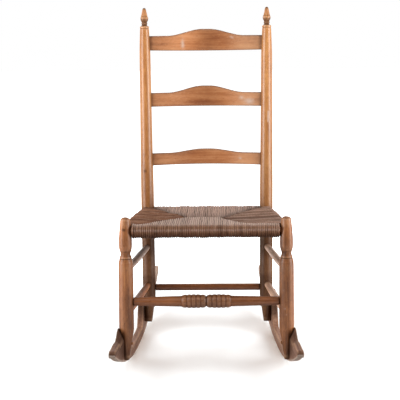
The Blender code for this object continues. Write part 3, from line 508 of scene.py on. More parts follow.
# How ragged and how strong the rubbing, the painted sheen and the painted highlight are in the strands'
# colour
RUBBED_AND_SHEEN_RAGGED = 0.8
RUBBED_AND_SHEEN_STRENGTH = 0.85
TWIST_STRENGTH = 0.22
VALLEY_POWER = 0.8
VALLEY_STRENGTH = 0.9
UNDER_STRENGTH = 0.85
FIBRE_SPAN = (0.2, 0.8)
RUSH_ROUGHNESS = (0.50, 0.75)
TWIST_HEIGHT = 0.7
FIBRE_HEIGHT = 0.5
RUSH_SPECULAR = 0.03

# Stage: lamps, a dark card behind the camera, and the floor, which turns into the white of the room
SENSOR_WIDTH = 36.0
Lamp = namedtuple("Lamp", "place target size")
CHAIR_MIDDLE = (0.0, -0.05, 0.45)
LAMPS = {
    "key": Lamp((-0.5, -1.3, 2.3), CHAIR_MIDDLE, (1.6, 1.2)),
    "left": Lamp((-1.85, -0.75, 0.9), CHAIR_MIDDLE, (1.1, 1.8)),
    "right": Lamp((1.85, -0.60, 0.9), CHAIR_MIDDLE, (1.1, 1.8)),
    "back": Lamp((0.0, 2.3, 1.6), (0.0, 0.1, 0.0), (2.4, 1.0)),
}
CARD_Y = -3.2
CARD_HALF_WIDTH = 1.8
CARD_HEIGHTS = (0.0, 2.6)
CARD_COLOURS = ((0.03, 0.03, 0.03, 1.0), (0.06, 0.06, 0.06, 1.0))
FLOOR_HALF = 9.0
FLOOR_LINES = 13
FLOOR_FADE = (0.38, 0.82)
FLOOR_ROUGHNESS = 0.9
FLOOR_SPECULAR = 0.1
WHITE = (1.0, 1.0, 1.0, 1.0)

# Spacing and number of the surfaces' rows and columns
LEG_ROW = 0.002
HEAD_ROW = 0.0006
ROD_ROW = 0.0009
PEG_ROW = 0.0004
POST_SIDES = 72
ROD_SIDES = 48
PEG_SIDES = 24
TIP_RADIUS = 0.0004
SLAT_STATIONS = 181
SLAT_LOOP = (9, 5)
ROCKER_STATIONS = 330
ROCKER_END_TURNS = np.radians(np.linspace(86, 0, 22))
ROCKER_LOOP = (10, 5)
TOP_ROWS = 34
TOP_CROWDING = 1.5
ROLL_ROWS = 26
UNDER_ROWS = 14
SEAM_ROWS = 5


def smooth_step(value):
    """Ease from 0 to 1 as the value goes from 0 to 1: 3t^2 - 2t^3, held outside."""
    held = np.clip(value, 0.0, 1.0)
    return held * held * (3.0 - 2.0 * held)


def ramp(place, span):
    """Eased rise from 0 to 1 over a span of places."""
    return smooth_step((place - span[0]) / (span[1] - span[0]))


def bump(place, middle, reach):
    """Bell that is 1 at the middle and falls to 1/e at the reach."""
    return np.exp(-((place - middle) / reach) ** 2)


def stepped(place, steps):
    """Sum of eased steps, each times its strength."""
    return sum(strength * ramp(place, span) for strength, span in steps)


def belled(place, bells):
    """Sum of bells, each times its strength."""
    return sum(strength * bump(place, middle, reach) for strength, middle, reach in bells)


def circle(sides):
    """Angles of a closed ring."""
    return np.linspace(0, 2 * math.pi, sides, endpoint=False)


def curve_through(knots, places):
    """Monotone cubic through (place, value) knots.

    Each knot's tangent is the harmonic mean of the slopes beside it, and level where the
    slopes change sign; between two knots the value is the cubic with those tangents.
    """
    at, value = np.asarray(knots, float).T
    step = np.diff(at)
    slope = np.diff(value) / step
    product = slope[:-1] * slope[1:]
    rising = product > 0
    total = np.where(rising, slope[:-1] + slope[1:], 1.0)
    tangent = np.concatenate(([slope[0]], np.where(rising, 2 * product / total, 0.0), [slope[-1]]))
    index = np.clip(np.searchsorted(at, places) - 1, 0, len(step) - 1)
    wide = step[index]
    t = np.clip((places - at[index]) / wide, 0.0, 1.0)
    start = t * (1 - t) ** 2 * wide * tangent[index]
    end = t * t * (t - 1) * wide * tangent[index + 1]
    return value[index] + (value[index + 1] - value[index]) * smooth_step(t) + start + end


def turned_rows(knots, row, fine_from=0.0):
    """Rows (height, radius) along a turned profile, LEG_ROW apart below a height and closer above it.

    Height and radius are each a monotone cubic of the distance walked along the knots.
    """
    knots = np.asarray(knots, float)
    walked = np.concatenate(([0.0], np.cumsum(np.linalg.norm(np.diff(knots, axis=0), axis=1))))
    split = np.interp(fine_from, knots[:, 0], walked)
    coarse, fine = np.arange(0.0, split, LEG_ROW), np.arange(split, walked[-1], row)
    places = np.concatenate((coarse, fine, walked[-1:]))
    height = curve_through(np.column_stack((walked, knots[:, 0])), places)
    radius = curve_through(np.column_stack((walked, knots[:, 1])), places)
    return height, np.maximum(radius, TIP_RADIUS)


def ridges_and_hollows(radius, rows, full):
    """Masks of how far each row of a profile stands out from, or in from, the mean of those around it."""
    width = 2 * rows + 1
    mean = np.convolve(np.pad(radius, rows, mode="edge"), np.ones(width) / width, mode="valid")
    standing = (radius - mean)[:, None] / full
    return np.clip(standing, 0, 1), np.clip(-standing, 0, 1)


def unit(vector):
    """Vector of length 1 in the same direction."""
    return vector / np.linalg.norm(vector)


def across_axes(run):
    """Two directions square to a run: the first lies nearest to +X, or to -Y for a run along X."""
    near = np.array((1.0, 0.0, 0.0)) if abs(run[0]) < NEARLY_ALONG else np.array((0.0, -1.0, 0.0))
    first = unit(near - run * (near @ run))
    return first, np.cross(run, first)


def turned_surface(start, run, height, first_reach, second_reach):
    """Points and grain coordinates of a turned piece.

    A point is start + u * first + v * second + h * run, where first and second lie square to the
    run, and its grain coordinate is (u, v, h).
    """
    along = np.broadcast_to(height[:, None], first_reach.shape)
    grain = np.stack((first_reach, second_reach, along), axis=-1)
    return start + grain @ np.stack((*across_axes(run), run)), grain


def near_points(points, centres, reach):
    """Sum of soft spots around some centres, each 1 at its centre and 1/e at the reach."""
    gaps = np.linalg.norm(points[..., None, :] - np.asarray(centres, float), axis=-1)
    return np.exp(-(gaps / reach) ** 2).sum(axis=-1)


def joint_dirt(points, centres, dirt):
    """Dirt that gathers round some joints."""
    strength, reach = dirt
    return strength * near_points(points, centres, reach)


def own_spots(points, axis, side, spots):
    """Marks that the post of one side alone has."""
    if side != spots.side:
        return 0.0
    centres = [axis(side, height) + np.array((x, y, 0.0)) for height, x, y in spots.places]
    return spots.strength * near_points(points, centres, spots.reach)


def marks(shape, *masks):
    """Pack three masks into one vector for each point."""
    return np.stack([np.clip(np.broadcast_to(mask, shape), 0.0, 1.0) for mask in masks], axis=-1)


def sawn(grain, kind, number):
    """Grain coordinates moved to a piece's own place in the log."""
    offset, step = np.array(SAWN_FROM[kind])
    return grain + offset + step * number


def wood_looks(grain, tone, wear, grime, scuff=0.0):
    """Attributes of a wooden surface: grain coordinates, tone, and the masks of its marks."""
    shape = grain.shape[:2]
    return {"grain": grain, "marks": marks(shape, wear, grime, scuff), "tone": np.broadcast_to(tone, shape)}


def build_shell(name, points, attributes, material, node):
    """Closed surface from a grid of points whose second direction runs round the piece.

    points is (rows, columns, 3). Quads join neighbours, the columns wrap round, and a fan to
    the mean of its ring closes each end. attributes maps a name to (rows, columns) numbers
    or (rows, columns, 3) vectors. The piece rides on the frame and stands for its CAD node.
    """
    rows, columns = points.shape[:2]
    index = np.arange(rows * columns).reshape(rows, columns)
    after = np.roll(index, -1, axis=1)
    quads = np.stack((index[:-1], after[:-1], after[1:], index[1:]), axis=-1).reshape(-1, 4)
    low = np.stack((after[0], index[0], np.full(columns, rows * columns)), axis=-1)
    high = np.stack((index[-1], after[-1], np.full(columns, rows * columns + 1)), axis=-1)
    corners = np.concatenate((quads.ravel(), low.ravel(), high.ravel()))
    sizes = np.concatenate((np.full(len(quads), 4), np.full(2 * columns, 3)))
    starts = np.concatenate(([0], np.cumsum(sizes)[:-1]))

    def with_ends(values):
        ends = np.stack((values[0].mean(axis=0), values[-1].mean(axis=0)))
        joined = np.concatenate((values.reshape(rows * columns, -1), ends.reshape(2, -1)))
        return joined.astype(np.float32).ravel()

    mesh = bpy.data.meshes.new(name)
    mesh.vertices.add(rows * columns + 2)
    mesh.vertices.foreach_set("co", with_ends(points))
    mesh.loops.add(len(corners))
    mesh.loops.foreach_set("vertex_index", corners.astype(np.int32))
    mesh.polygons.add(len(sizes))
    mesh.polygons.foreach_set("loop_start", starts.astype(np.int32))
    mesh.update(calc_edges=True)
    mesh.shade_smooth()
    for label, values in attributes.items():
        kind, field = ("FLOAT_VECTOR", "vector") if values.ndim == 3 else ("FLOAT", "value")
        layer = mesh.attributes.new(label, kind, "POINT")
        layer.data.foreach_set(field, with_ends(values))
    mesh.materials.append(material)
    piece = bpy.data.objects.new(name, mesh)
    bpy.context.scene.collection.objects.link(piece)
    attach(piece, "root")
    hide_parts(node)


def front_axis(side, height):
    """Point on a front post's axis at a height."""
    above = height - SEAT_HEIGHT
    out = FRONT_SPREAD / 2 - math.tan(FRONT_SPLAY) * above
    return np.array((side * out, FRONT_POST_Y + math.tan(FRONT_RAKE) * above, height))


def back_axis(side, height):
    """Point on a back post's axis at a height."""
    above = height - SEAT_HEIGHT
    out = BACK_SPREAD / 2 + math.tan(BACK_FLARE) * above
    return np.array((side * out, BACK_POST_Y + math.tan(BACK_RAKE) * above, height))


def rocker_line():
    """Toe angle of a rocker's inner face and its distance out at the resting point."""
    front = front_axis(1, ROCKER_LINE_HEIGHT)
    back = back_axis(1, ROCKER_LINE_HEIGHT)
    slope = (front[0] + ROCKER_OFF_FRONT_LEG - back[0] - ROCKER_OFF_BACK_LEG) / (back[1] - front[1])
    out = front[0] + ROCKER_OFF_FRONT_LEG - slope * (ROCKER_REST_Y - front[1])
    return math.atan(slope), out


def rocker_frame(side):
    """Resting point on a rocker's inner face, the direction along the plank and the one outwards."""
    toe, out = rocker_line()
    origin = np.array((side * out, ROCKER_REST_Y, 0.0))
    along = np.array((-side * math.sin(toe), math.cos(toe), 0.0))
    outward = np.array((side * math.cos(toe), math.sin(toe), 0.0))
    return origin, along, outward


def running_edge(place):
    """Height of the rocker's running edge: a short flat, then an arc to each end."""
    radius = np.where(place < 0, ROCKER_FRONT_RADIUS, ROCKER_BACK_RADIUS)
    past = np.maximum(np.abs(place) - ROCKER_REST_FLAT / 2, 0.0)
    return radius - np.sqrt(radius ** 2 - past ** 2)


def leg_places():
    """Places of the front and back legs along the plank."""
    toe, _ = rocker_line()
    depths = np.array([axis(1, ROCKER_LINE_HEIGHT)[1] for axis in (front_axis, back_axis)])
    return (depths - ROCKER_REST_Y) / math.cos(toe)


def plank_depth(place):
    """Depth of the rocker's plank: it swells from the nose and has an ear at each leg, by eased steps."""
    front, back = leg_places()
    depth = NOSE_TIP_DEPTH + (NOSE_DEPTH - NOSE_TIP_DEPTH) * ramp(place - front, NOSE_SWELL)
    depth += (FRONT_EAR_DEPTH - NOSE_DEPTH) * ramp(place - front, FRONT_EAR_RISE)
    depth += (BLADE_DEPTH - FRONT_EAR_DEPTH) * ramp(place - front, FRONT_EAR_FALL)
    depth += (BACK_EAR_DEPTH - BLADE_DEPTH) * ramp(place - back, BACK_EAR_RISE)
    return depth + (TAIL_DEPTH - BACK_EAR_DEPTH) * ramp(place - back, BACK_EAR_FALL)


def shoulder_heights():
    """Height of each leg's shoulder at the rocker's inner face, front and back."""
    places = leg_places()
    return running_edge(places) + plank_depth(places) - EAR_BEVEL_DROP


def foot_knots():
    """Rounded end of a leg, as an arc from its flat to its side."""
    turn = np.radians((0, 30, 60, 90))
    radius = FOOT_RADIUS - FOOT_ROUND + FOOT_ROUND * np.sin(turn)
    return [(0.0, 0.0), *zip(FOOT_ROUND * (1 - np.cos(turn)), radius)]


def post_surface(axis, side, foot, top, knots, fine_from, shoulder):
    """Turned post, pared inside at its foot and notched outside for the rocker.

    A point is foot + along*h + r(h)*(cos t * first + sin t * second). Its inner reach is held
    to a line that narrows to the foot, and its outer reach to the rocker's inner face below a
    slanted shoulder. The radius wavers a little, as hand turning and shrinking leave it. Also
    gives masks of the cut faces and of the strip beside the rocker, which widens to the foot,
    and the radius of each row.
    """
    height, radius = turned_rows(knots, HEAD_ROW, fine_from)
    turn = circle(POST_SIDES)
    start = axis(side, foot)
    run = unit(axis(side, top) - start)
    oval = POST_OVAL * np.cos(2 * turn + POST_OVAL_TURN * side)
    reach = radius[:, None] * (1 + oval + POST_WAVER * np.sin(POST_WAVER_RATE * height)[:, None])
    across = reach * np.cos(turn)
    pare = FOOT_PARE_LEFT + (FRONT_LEG_RADIUS - FOOT_PARE_LEFT) * height / FOOT_PARE_START
    pare = np.where(height < FOOT_PARE_START, pare, np.inf)[:, None]
    pared = np.maximum(-side * across - pare, 0.0)
    points, grain = turned_surface(start, run, height, across + side * pared, reach * np.sin(turn))
    z = points[..., 2]
    origin, _, outward = rocker_frame(side)
    allowed = np.maximum(z - shoulder, 0.0) / math.tan(EAR_BEVEL_SLOPE) - CLEARANCE
    notched = np.maximum((points - origin) @ outward - allowed, 0.0)
    points = points - notched[..., None] * outward
    cut = np.clip((notched + pared) / CUT_DEPTH, 0.0, 1.0)
    below = np.clip((shoulder - z) / (shoulder - foot), 0.0, 1.0)
    strip = (NOTCH_SHADE_REACH + NOTCH_SHADE_SPREAD * below, NOTCH_SHADE_EDGE)
    beside = ramp((origin - points) @ outward, strip) * ramp(z - shoulder, NOTCH_SHADE_TOP)
    return points, grain, cut, beside, radius


def build_back_post(side, label, material):
    """Tall back post, turned through its foot's arc, an even leg, a taper and the finial's knots.

    Dirt sits in the hollows, round the joints and low down, where painted shade also darkens the legs under
    the seat and the strip beside the rocker; wear lies on the ridges and the cut faces.
    """
    foot = back_axis(side, BACK_FOOT_HEIGHT)
    taper, middle, tip = (np.linalg.norm(back_axis(side, height) - foot)
                          for height in (BACK_TAPER_HEIGHT, BACK_MIDDLE_HEIGHT, BACK_TIP_HEIGHT))
    knots = foot_knots() + [(FOOT_TAPER, BACK_LEG_RADIUS), (taper, BACK_LEG_RADIUS)]
    knots += [(middle, BACK_MIDDLE_RADIUS)]
    knots += [(tip - below, radius) for below, radius in reversed(FINIAL)]
    points, grain, cut, beside, radius = post_surface(
        back_axis, side, BACK_FOOT_HEIGHT, BACK_TIP_HEIGHT, knots,
        tip - FINIAL[-1][0], shoulder_heights()[1])
    ridges, hollows = ridges_and_hollows(radius, *BACK_RELIEF)
    z = points[..., 2]
    under = (BACK_TIP_HEIGHT - z) / math.cos(BACK_RAKE)
    inward = np.array((-side * BACK_MIDDLE_RADIUS, 0, 0))
    forward = np.array((0, -BACK_LEG_RADIUS, 0))
    slat_joints = [back_axis(side, BACK_TIP_HEIGHT - below + part) + inward
                   for below, deep, *_ in SLATS.values()
                   for part in np.linspace(SLAT_JOINT_INSET, deep - SLAT_JOINT_INSET, SLAT_JOINT_SPOTS)]
    rod_joints = [back_axis(side, height) for height in (BACK_STRETCHER_HEIGHT, BACK_RAIL_HEIGHT)]
    rod_joints += [back_axis(side, back) + forward for _, back in SIDE_STRETCHERS.values()]
    grime = joint_dirt(points, slat_joints, BACK_SLAT_DIRT)
    grime += joint_dirt(points, rod_joints, BACK_ROD_DIRT)
    grime += hollows + stepped(z, BACK_DIRT_AND_SHADE) + BACK_NOTCH_SHADE * beside
    grime += stepped(under, FINIAL_DIRT) + belled(under, FINIAL_LINES)
    grime += own_spots(points, back_axis, side, BACK_KNOT)
    looks = wood_looks(sawn(grain, "back post", side), stepped(z, BACK_TONE) + CUT_TONE * cut,
                       ridges + CUT_WEAR * cut, grime, own_spots(points, back_axis, side, BACK_SCRATCH))
    build_shell("back_post_surface_" + label, points, looks, material, "back_post_" + label)


def build_front_post(side, label, material):
    """Short front post, turned through its foot's arc, an even leg and the knots of its head.

    Dirt, wear and the painted shade beside the rocker lie as on the back posts, a painted highlight pales
    each post's outer side, and the two posts' tones differ as they go down.
    """
    foot = front_axis(side, FRONT_FOOT_HEIGHT)
    top = np.linalg.norm(front_axis(side, FRONT_TOP_HEIGHT) - foot)
    head_low = top - FRONT_HEAD[-1][0]
    knots = foot_knots() + [(FOOT_TAPER, FRONT_LEG_RADIUS), (head_low - HEAD_TAPER, FRONT_LEG_RADIUS)]
    knots += [(top - below, radius) for below, radius in reversed(FRONT_HEAD)]
    points, grain, cut, beside, radius = post_surface(
        front_axis, side, FRONT_FOOT_HEIGHT, FRONT_TOP_HEIGHT, knots,
        head_low, shoulder_heights()[0])
    ridges, hollows = ridges_and_hollows(radius, *FRONT_RELIEF)
    z = points[..., 2]
    under = (FRONT_TOP_HEIGHT - z) / math.cos(FRONT_RAKE)
    inward = np.array((-side * FRONT_LEG_RADIUS, 0, 0))
    backward = np.array((0, FRONT_LEG_RADIUS, 0))
    rod_joints = [front_axis(side, FRONT_STRETCHER_HEIGHT) + inward]
    rod_joints += [front_axis(side, front) + backward for front, _ in SIDE_STRETCHERS.values()]
    to_seat = np.array((-side * FRONT_SEAT_IN, FRONT_SEAT_BACK, 0))
    seat_joints = [front_axis(side, height) + to_seat for height in FRONT_SEAT_JOINTS]
    grime = joint_dirt(points, rod_joints, FRONT_ROD_DIRT)
    grime += joint_dirt(points, seat_joints, FRONT_SEAT_DIRT)
    grime += hollows + stepped(z, FRONT_DIRT) + FRONT_NOTCH_SHADE * beside + belled(under, NECK_LINES)
    grime += own_spots(points, front_axis, side, FRONT_KNOT)
    wear = FRONT_RIDGE_WEAR * ridges + stepped(z, FRONT_WEAR) + CUT_WEAR * cut
    tone = FRONT_BASE_TONE + stepped(z, FRONT_TONE) + CUT_TONE * cut
    # Painted highlight: the outer side of the post paler than its middle
    outer = FRONT_OUTER_PAINTED_LIGHT * grain[..., 0] / FRONT_LEG_RADIUS
    tone += side * (FRONT_SIDE_BASE + stepped(z, FRONT_SIDE_TONE) + outer)
    looks = wood_looks(sawn(grain, "front post", side), tone, wear, grime,
                       own_spots(points, front_axis, side, FRONT_DENTS))
    build_shell("front_post_surface_" + label, points, looks, material, "front_post_" + label)


def section_loop(per_edge, per_corner):
    """Unit loop of a round-cornered rectangle: where each point sits on the inner rectangle, which
    way it lies from there by the edge radius, and 1 at the corners falling to 0 on the flats."""
    signs = np.array(((1, 1), (-1, 1), (-1, -1), (1, -1)), float)
    share = np.linspace(0, 1, per_edge + 2)[1:-1, None]
    seats, ways, corner = [], [], []
    for number in range(4):
        turn = np.radians(np.linspace(90 * number, 90 * number + 90, per_corner))
        seats.append(np.repeat(signs[number][None], per_corner, axis=0))
        ways.append(np.column_stack((np.cos(turn), np.sin(turn))))
        corner.append(np.ones(per_corner))
        seats.append(signs[number] * (1 - share) + signs[(number + 1) % 4] * share)
        ways.append(np.repeat(ways[-1][-1][None], per_edge, axis=0))
        corner.append(np.abs(2 * share[:, 0] - 1) ** CORNER_FALL)
    return np.concatenate(seats), np.concatenate(ways), np.concatenate(corner)


def build_slat(name, number, material):
    """Bowed slat with an arched crest.

    Each station across the chair is a round-cornered rectangle between the crest and a lower
    edge that drops by a parabola, set square to another that bows back by SLAT_BOW, and
    leaning with the posts.
    """
    below, deep, rise, drop = SLATS[name]
    low = BACK_TIP_HEIGHT - below
    cos_rake = math.cos(BACK_RAKE)
    half = back_axis(1, low + deep / 2 * cos_rake)[0]
    place = np.linspace(-half, half, SLAT_STATIONS)[:, None]
    crest = rise * ramp(np.abs(place), (CREST_REACH, CREST_FLAT))
    seats, ways, corner = section_loop(*SLAT_LOOP)
    arch = 1 - (place / half) ** 2
    dropped = drop * arch * cos_rake
    tall = (deep + crest) * cos_rake + dropped
    depth = seats[:, 0] * (SLAT_THICKNESS / 2 - SLAT_EDGE) + ways[:, 0] * SLAT_EDGE
    height = tall / 2 + seats[:, 1] * (tall / 2 - SLAT_EDGE) + ways[:, 1] * SLAT_EDGE
    angle = np.arctan(-2 * SLAT_BOW * place / half ** 2)
    z = low - dropped + height
    x = place - np.sin(angle) * depth
    y = back_axis(0, 0)[1] + math.tan(BACK_RAKE) * z + SLAT_BOW * arch + np.cos(angle) * depth
    grain = np.stack((height, *np.broadcast_arrays(depth, place)), axis=-1)
    top_edge = ramp(tall - height, SLAT_EDGE_REACH)
    low_edge = ramp(height, SLAT_EDGE_REACH)
    end = ramp(half - np.abs(x), SLAT_END_REACH)
    wear = SLAT_CORNER_WEAR * corner * (1 - top_edge) * (1 - low_edge) + stepped(x / half, SLAT_WEAR)
    # The lower edge is darkened as painted shade
    grime = SLAT_TOP_DIRT * top_edge + SLAT_LOW_SHADE * low_edge + SLAT_END_DIRT * end
    scuff = sum(bump(x, at, wide) * bump(height, up * deep, high)
                for at, up, wide, high in SLAT_SCUFFS[name])
    looks = wood_looks(sawn(grain, "slat", number), belled(x / half, SLAT_TONES[name]), wear, grime, scuff)
    build_shell(name + "_surface", np.stack((x, y, z), axis=-1), looks, material, name)


def build_rod(name, start, end, knots, material, tone, seed):
    """Turned rod between two points: the profile's radius swept round its axis, a little oval."""
    height, radius = turned_rows(knots, ROD_ROW)
    turn = circle(ROD_SIDES)
    oval = ROD_OVAL * np.cos(2 * turn + seed)
    reach = radius[:, None] * (1 + oval + ROD_WAVER * np.sin(ROD_WAVER_RATE * height + seed)[:, None])
    run = unit(end - start)
    points, grain = turned_surface(start, run, height, reach * np.cos(turn), reach * np.sin(turn))
    ridges, hollows = ridges_and_hollows(radius, *ROD_RELIEF)
    length = height[-1]
    from_end = np.minimum(height, length - height)[:, None]
    grime = ROD_HOLLOW_DIRT * hollows + ROD_END_DIRT * ramp(from_end, ROD_END_REACH)
    wear = ROD_RIDGE_WEAR * ridges * ramp(from_end, ROD_WEAR_START)
    # Painted highlight down one side of the rod, and painted shade round the far side
    lit = np.maximum(tone.lit * np.cos(turn - tone.turn), tone.darkest)
    shade = tone.base + belled(height[:, None] / length, tone.bells) + lit
    looks = wood_looks(sawn(grain, "rod", seed), shade, wear, grime)
    build_shell(name + "_surface", points, looks, material, name)


def shouldered(length, end_radius, inside):
    """Knots of a rod's body: rounded shoulders with the given points between them."""
    drop = SHOULDER_ROUND * (1 - math.sqrt(0.5))
    near = [(0.0, end_radius - SHOULDER_ROUND), (drop, end_radius - drop), (SHOULDER_ROUND, end_radius)]
    return near + inside + [(length - place, radius) for place, radius in reversed(near)]


def ringed_body(length):
    """Front stretcher's body: slim ends, a swell, and two ringed barrels either side of a groove."""
    half = length / 2
    swell_end = half - RING_CLUSTER_LENGTH / 2
    grow = FRONT_STRETCHER_SWELL_RADIUS - FRONT_STRETCHER_END_RADIUS
    places = SHOULDER_ROUND + (swell_end - SHOULDER_ROUND) * SWELL_SHARES
    left = list(zip(places, FRONT_STRETCHER_END_RADIUS + grow * SWELL_SHARES))
    barrel = RING_CLUSTER_LENGTH / 2 - RING_GROOVE_WIDTH / 2
    steps = np.arange(KNOTS_PER_RING * RINGS_PER_SIDE + 1)
    share = steps / steps[-1]
    ring = BARREL_END_RADIUS + (BARREL_RADIUS - BARREL_END_RADIUS) * np.sin(np.pi * share)
    left += list(zip(swell_end + barrel * share, ring - RING_DEPTH * (steps % KNOTS_PER_RING == 0)))
    right = [(length - place, radius) for place, radius in reversed(left)]
    return shouldered(length, FRONT_STRETCHER_END_RADIUS, left + [(half, RING_GROOVE_RADIUS)] + right)


def plain_body(length):
    """Back stretcher's body: an even rod."""
    return shouldered(length, BACK_STRETCHER_RADIUS, [(length / 2, BACK_STRETCHER_RADIUS)])


def spindle_body(length):
    """Side stretcher's body: thickest at its middle by a sine."""
    swell = (SIDE_STRETCHER_RADIUS - SIDE_STRETCHER_END_RADIUS) * np.sin(np.pi * SPINDLE_SHARES)
    inside = list(zip(length * SPINDLE_SHARES, SIDE_STRETCHER_END_RADIUS + swell))
    return shouldered(length, SIDE_STRETCHER_END_RADIUS, inside)


def with_tenons(body, first, last):
    """Knots of a whole rod: a tenon at each end of its body, whose shoulders lie at first and last."""
    middle = [(first + place, radius) for place, radius in body]
    length = middle[-1][0] + last
    slim = TENON_RADIUS - TENON_EDGE
    start = [(0.0, slim), (TENON_EDGE, TENON_RADIUS), (first - TENON_EDGE, TENON_RADIUS)]
    end = [(length - last + TENON_EDGE, TENON_RADIUS), (length - TENON_EDGE, TENON_RADIUS), (length, slim)]
    return start + middle + end


def build_cross_stretcher(name, axis, height, post_radius, body, material, tone, seed):
    """Stretcher across the chair, its tenons running past the axes of two posts."""
    past = np.array((CROSS_TENON_PAST_AXIS, 0, 0))
    start, end = axis(-1, height) - past, axis(1, height) + past
    shoulder = CROSS_TENON_PAST_AXIS + post_radius - CLEARANCE
    length = np.linalg.norm(end - start) - 2 * shoulder
    build_rod(name, start, end, with_tenons(body(length), shoulder, shoulder), material, tone, seed)


def build_side_stretcher(name, side, heights, material, tone, seed):
    """Slim spindle between a front and a back post, its tenons stopping short of their axes."""
    front, back = front_axis(side, heights[0]), back_axis(side, heights[1])
    stop = TENON_RADIUS + SIDE_TENON_STOP
    inset = unit(back - front) * stop
    start, end = front + inset, back - inset
    first = FRONT_LEG_RADIUS - stop - CLEARANCE
    last = BACK_LEG_RADIUS - stop - CLEARANCE
    length = np.linalg.norm(end - start) - first - last
    build_rod(name, start, end, with_tenons(spindle_body(length), first, last), material, tone, seed)


def build_rocker(side, label, material):
    """Sawn rocker plank: a round-cornered section carried along the plank.

    The section's height runs from the running edge to the top edge, closes as a half ellipse
    at the nose and the tail, and its inner top edge is held under the slanted ear bevels.
    """
    origin, along, outward = rocker_frame(side)
    toe, _ = rocker_line()
    nose = (-ROCKER_LENGTH / 2 - ROCKER_REST_Y) / math.cos(toe)
    tail = (ROCKER_LENGTH / 2 - ROCKER_REST_Y - ROCKER_THICKNESS * math.sin(toe)) / math.cos(toe)
    inner = (nose + NOSE_ROUND, tail - TAIL_ROUND)
    place = np.concatenate((inner[0] - NOSE_ROUND * np.sin(ROCKER_END_TURNS),
                            np.linspace(*inner, ROCKER_STATIONS)[1:-1],
                            inner[1] + TAIL_ROUND * np.sin(ROCKER_END_TURNS[::-1])))[:, None]
    held = np.clip(place, *inner)
    beyond = np.where(place < inner[0], (inner[0] - place) / NOSE_ROUND, (place - inner[1]) / TAIL_ROUND)
    beyond = np.clip(beyond, 0, 1)
    full_half = plank_depth(held) / 2
    middle = running_edge(held) + full_half
    half = full_half * np.sqrt(1 - beyond ** 2)
    edge = np.minimum(ROCKER_EDGE, ROCKER_END_EDGE * half)
    seats, ways, corner = section_loop(*ROCKER_LOOP)
    thick = ROCKER_THICKNESS / 2
    z = middle + seats[:, 0] * (half - edge) + ways[:, 0] * edge
    out = thick + side * (seats[:, 1] * (thick - edge) + ways[:, 1] * edge)
    legs = leg_places()
    for leg, shoulder in zip(legs, shoulder_heights()):
        bevel = shoulder + out * math.tan(EAR_BEVEL_SLOPE)
        z = np.where(np.abs(place - leg) < EAR_BEVEL_REACH, np.minimum(z, bevel), z)
    grain = np.stack((z, out, np.broadcast_to(place, z.shape)), axis=-1)
    points = origin + grain @ np.stack((UP, outward, along))
    height = z - middle + half
    tucked = sum(bump(place, leg, TUCKED_ALONG) for leg in legs)
    tucked = tucked * ramp(out, TUCKED_OUT) * ramp(z, TUCKED_UP)
    # Painted shade on the ears beside the legs
    ears = sum(bump(place, leg, EAR_ALONG) for leg in legs) * ramp(z, EAR_UP)
    wear = ROCKER_CORNER_WEAR * corner * ramp(height, ROCKER_WEAR_HEIGHT)
    # End grain is dirty; the strip beside the legs and the ears take painted shade
    grime = END_GRAIN_DIRT * beyond ** 2 + TUCKED_SHADE * tucked + EAR_SHADE * ears
    # The tail's paleness is a painted highlight; the running edge's is wear
    scuff = stepped(place - tail, [TAIL_PAINTED_LIGHT]) + stepped(height, [RUNNING_SCUFF])
    tone = ROCKER_TONE + ROCKER_SIDE_TONE * side + EAR_SHADE_TONE * ears + stepped(place - legs[0], [NOSE_TONE])
    looks = wood_looks(sawn(grain, "rocker", side), tone, wear, grime, scuff)
    build_shell("rocker_surface_" + label, points, looks, material, "rocker_" + label)


def build_peg(name, start, end, radius, material):
    """Whittled peg: a short rod with slightly rounded ends and eight flat sides."""
    length = np.linalg.norm(end - start)
    near = [(0.0, radius * PEG_END_SHARE), (PEG_END_STEP, radius - 2 * PEG_ROUND), (PEG_ROUND, radius)]
    knots = near + [(length - place, reach) for place, reach in reversed(near)]
    height, reach = turned_rows(knots, PEG_ROW)
    turn = circle(PEG_SIDES)
    facet = reach[:, None] * (1 - PEG_FACET * np.abs(np.sin(4 * turn)))
    run = unit(end - start)
    points, grain = turned_surface(start, run, height, facet * np.cos(turn), facet * np.sin(turn))
    rim = ramp(reach[:, None] / radius, PEG_RIM)
    looks = wood_looks(grain, 0.0, 0.0, PEG_RIM_DIRT * rim)
    build_shell(name + "_surface", points, looks, material, name)


def rocker_peg_ends(side, axis, leg_radius, shoulder):
    """Outer and inner end of a peg through a rocker's ear and the leg beside it."""
    origin, along, outward = rocker_frame(side)
    height = shoulder - ROCKER_PEG_DROP
    centre = axis(side, height)
    toe, _ = rocker_line()
    place = (centre[1] - ROCKER_REST_Y) / math.cos(toe) - ROCKER_PEG_FORWARD
    inner = (centre - origin) @ outward - math.sqrt(leg_radius ** 2 - ROCKER_PEG_FORWARD ** 2) - PEG_PROUD
    base = origin + along * place + np.array((0, 0, height))
    return base + outward * (ROCKER_THICKNESS + PEG_PROUD), base + outward * inner


def slat_peg_ends(side):
    """Outer and inner end of a peg driven from behind through a back post and the top slat."""
    below, deep = SLATS["top_slat"][:2]
    height = BACK_TIP_HEIGHT - below + deep / 2 * math.cos(BACK_RAKE)
    square = np.array((0, math.cos(BACK_RAKE), -math.sin(BACK_RAKE)))
    radius = np.interp((BACK_TIP_HEIGHT - height) / math.cos(BACK_RAKE), *np.transpose(FINIAL))
    start = back_axis(side, height) - np.array((side * SLAT_PEG_IN, 0, 0))
    start = start + square * (math.sqrt(radius ** 2 - SLAT_PEG_IN ** 2) + PEG_PROUD)
    return start, start - square * SLAT_PEG_LENGTH


def seat_plane(y):
    """Height of the seat's middle plane, which falls from the front rail to the back rail."""
    return SEAT_HEIGHT + (BACK_RAIL_HEIGHT - SEAT_HEIGHT) * (y - FRONT_POST_Y) / RAIL_DEPTH


